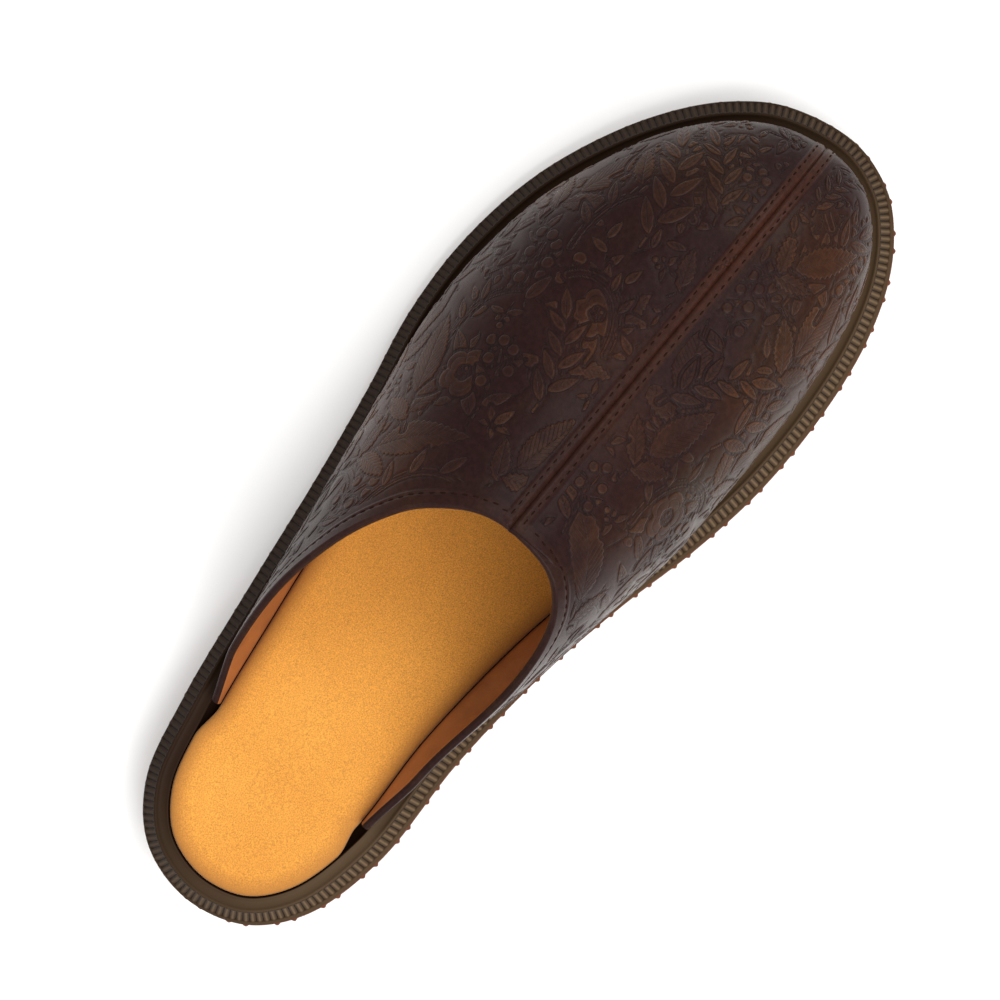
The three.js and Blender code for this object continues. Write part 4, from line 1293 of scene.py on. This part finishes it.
for lower, upper in zip(bed_rows[:-1], bed_rows[1:]):
    bed_faces += quads(upper, lower)
for row, tip in ((bed_rows[0][::-1], ring_row[0]), (bed_rows[-1], ring_row[BED_STEPS // 2])):
    bed_faces += [[int(tip), int(b), int(a)] for a, b in zip(row[:-1], row[1:])]
footbed = make_piece("footbed", np.vstack(bed_points), bed_faces, [tan_leather], "insole",
                     {"edge": np.concatenate(bed_edge_shade)})

# %% [markdown]
# ## Rubber of the outsole
# The outsole is red-brown moulded rubber, a little dusty and uneven in colour. Fine dust makes it glossier
# here and duller there, so the same fine noise drives both its roughness and its bump.

# %% Rubber of the outsole
def red_rubber():
    """Moulded red-brown rubber: satin sides, a little dusty and uneven in colour."""
    material, tree, shader, place, colour = clouded("moulded_red_brown_rubber", 18, 5.0, "#47200f", "#6a3b20")
    fine, bump = grained(tree, place, 0.8, 3.0, 0.2, 0.0002)
    rough = add(tree, "MapRange", (fine, 0.0, 1.0, 0.42, 0.62))
    fill(tree, shader, {"Base Color": colour, "Normal": bump, "Roughness": rough, "Specular IOR Level": 0.15})
    return material


sole_rubber = red_rubber()
print("outsole:", sole_rubber.name)

# %% [markdown]
# ## Tread and heel
# The outsole has a heel, a hollow waist and lugs across the tread. A Boolean could cut the grooves between
# the lugs, but they run straight across, so the tread is a height that depends only on the place along
# the foot. Both sides of the edge are sampled at the same places, and the grooves then meet.

# %% Tread and heel
LUG_PITCH, LUG_WIDTH, LUG_BOTTOM, LUG_DEPTH = 9.5, 3.0, 2.0, 2.6
LUG_ROWS = ((12, 8), (161, 13))
BREAST_STEP, CUT_CLEARANCE = 0.02, 0.12
lug_places = [first + k * LUG_PITCH for first, count in LUG_ROWS for k in range(count)]


def tread_bottom(x):
    hollow = (x > HEEL_BREAST) & (x < ARCH_FRONT)
    z = tread_height(x) + np.where(hollow, arch_height(x), 0)
    for place in lug_places:
        away = np.abs(x - place)
        z = z + LUG_DEPTH * np.clip((LUG_WIDTH / 2 - away) / (LUG_WIDTH / 2 - LUG_BOTTOM / 2), 0, 1)
    return z


def sole_stations():
    """Places along the foot: crowded at heel and toe, and at each edge of a groove and of the breast."""
    crowded = SOLE_LENGTH * (1 - np.cos(np.linspace(0, math.pi, 900))) / 2
    places = np.concatenate([crowded, np.linspace(3, 286, 640)])
    cuts = [p + s * half for p in lug_places for s in (-1, 1) for half in (LUG_WIDTH / 2, LUG_BOTTOM / 2)]
    cuts += [HEEL_BREAST - BREAST_STEP, HEEL_BREAST + BREAST_STEP]
    keep = [p for p in places if min(abs(p - c) for c in cuts) > CUT_CLEARANCE]
    return np.unique(np.concatenate([keep, cuts]))


toe_row = int(np.argmax(edge_line[:, 0]))
places = sole_stations()[1:-1]
inner_run = np.interp(places, edge_line[: toe_row + 1, 0], edge_run[: toe_row + 1])
outer_run = np.interp(places, edge_line[toe_row:, 0][::-1], edge_run[toe_row:][::-1])
sole_run = np.concatenate([[0], inner_run, [edge_run[toe_row]], outer_run[::-1]])
print(len(lug_places), "grooves,", len(sole_run), "places round the edge")

# %% [markdown]
# ## The outsole's edge
# Small nubs in pairs stand out round the edge, clearly on the inner side and hardly on the outer side,
# where the outsole also lies further in under the rim. The edge is swept like the rim, from the tread
# below to the seat above, and each row of its section takes a share of the nubs.

# %% Outsole's edge
NUB_PAIR_PITCH, NUB_STARTS, NUB_WIDTH = 14.0, (0.0, 5.0), 1.7
NUB_HEIGHT = {"medial": 0.6, "lateral": 0.2}
EDGE_INSET = {"medial": -0.5, "lateral": 0.8}
# Section of the edge: inset, share of the way up, height past that share, share of the nubs
EDGE = [(1.8, 0, 0, 0), (1.3, 0, 0.12, 0), (0.95, 0, 0.45, 0.5), (0.8, 0, 1.0, 1), (0.55, 0.33, 0.5, 1),
        (0.25, 0.67, -0.4, 1), (0, 1, -1.0, 1), (0.02, 1, -0.7, 0.6), (0.12, 1, -0.25, 0.2), (0.5, 1, 0, 0)]


def between(sizes, share):
    """From the inner side's size to the outer side's."""
    return sizes["medial"] + (sizes["lateral"] - sizes["medial"]) * share


sole_share = sole_run / EDGE_LENGTH
sole_line, sole_out = outline_at(sole_share)
pair_pitch = EDGE_LENGTH / round(EDGE_LENGTH / NUB_PAIR_PITCH)
nub = np.zeros(len(sole_run))
for start in NUB_STARTS:
    away = (sole_run - start - NUB_WIDTH / 2 + pair_pitch / 2) % pair_pitch - pair_pitch / 2
    nub = nub + np.cos(np.clip(away / NUB_WIDTH, -0.5, 0.5) * math.pi) ** 0.8
nub *= between(NUB_HEIGHT, 1 - smoothstep(-sole_out[:, 1], 0.0, 0.9))
sole_inset = between(EDGE_INSET, (sole_out[:, 1] + 1) / 2)
bottom, seat = tread_bottom(sole_line[:, 0]), seat_height(sole_line[:, 0])
sole_points = []
for inset, rise, past, nub_share in EDGE:
    place, _ = outline_at(sole_share, sole_inset + inset - nub * nub_share)
    sole_points.append(np.column_stack([place, bottom + (seat - bottom) * rise + past]))
make_piece("outsole_tread", np.vstack(sole_points), swept_faces(len(EDGE), len(sole_run)), [sole_rubber],
           "outsole")

# %% [markdown]
# ## Floor
# A shoe for a catalogue stands on white paper. The floor is one large face of matt paper, and it is no
# part of the shoe.

# %% Floor
floor_mesh = bpy.data.meshes.new("floor")
floor_mesh.from_pydata([(-4, -4, 0), (4, -4, 0), (4, 4, 0), (-4, 4, 0)], [], [(0, 1, 2, 3)])
floor = bpy.data.objects.new("floor", floor_mesh)
bpy.context.collection.objects.link(floor)
paper, paper_tree, paper_shader, _ = new_material("matt_white_paper")
fill(paper_tree, paper_shader, {"Base Color": linear("#f6f6f5"), "Roughness": 0.9, "Specular IOR Level": 0.1})
floor_mesh.materials.append(paper)
print("floor:", paper.name)

# %% [markdown]
# ## Light
# Sun lamps would give hard shadows, so four large soft boxes and an even world light the shoe. The key is
# on the inner side, where the ribs shine, and the others are weak, because a bright sky makes dark
# leather look grey.

# %% Light
WORLD_STRENGTH = 0.48
# Name, place in metres, size of the soft box, power in watts
LIGHTS = [
    ("key_inner_side", (-0.2, -1.0, 1.45), 1.5, 34.0),
    ("fill_outer_side", (-0.3, 1.2, 1.2), 1.2, 6.0),
    ("toe_side", (1.3, 0.1, 1.3), 1.2, 13.0),
    ("heel_side", (-1.3, -0.1, 1.3), 1.2, 6.0),
]
world = bpy.data.worlds.new("studio")
world.use_nodes = True
sky = world.node_tree
fill(sky, sky.nodes["Background"], {"Color": (1, 1, 1, 1), "Strength": WORLD_STRENGTH})
bpy.context.scene.world = world
for name, place, size, power in LIGHTS:
    data = bpy.data.lights.new(name, "AREA")
    data.size, data.energy = size, power
    lamp = bpy.data.objects.new(name, data)
    lamp.location = place
    lamp.rotation_euler = (-Vector(place)).to_track_quat("-Z", "Y").to_euler()
    bpy.context.collection.objects.link(lamp)
bpy.context.scene.view_settings.view_transform = "Standard"
print("lights:", [row[0] for row in LIGHTS])

# %% [markdown]
# ## Camera
# The view is from about a metre straight above, with the toe up and to the right. A tracking constraint
# could aim the camera, but it can't roll it, so its matrix is built from three directions. The lens
# follows from the width of floor that the square picture should show, which takes in the whole shoe.

# %% Camera
CAMERA_PLACE = Vector((0.011493, 0.009934, 0.99905))
PHOTO_UP = Vector((0.76255, 0.645457, 0.043619))
AIM = Vector((0.001, 0.0, 0.03))
FRAME_WIDTH, SENSOR_WIDTH = 0.282, 36.0
back = (CAMERA_PLACE - AIM).normalized()
right = PHOTO_UP.cross(back).normalized()
up = back.cross(right)
camera_data = bpy.data.cameras.new("photo_camera")
camera = bpy.data.objects.new("photo_camera", camera_data)
turn = Matrix((right, up, back)).transposed()
camera.matrix_world = Matrix.Translation(CAMERA_PLACE) @ turn.to_4x4()
camera_data.sensor_width = SENSOR_WIDTH
camera_data.lens = SENSOR_WIDTH * (CAMERA_PLACE - AIM).length / FRAME_WIDTH
bpy.context.collection.objects.link(camera)
bpy.context.scene.camera = camera
print(f"lens {camera_data.lens:.0f} mm")
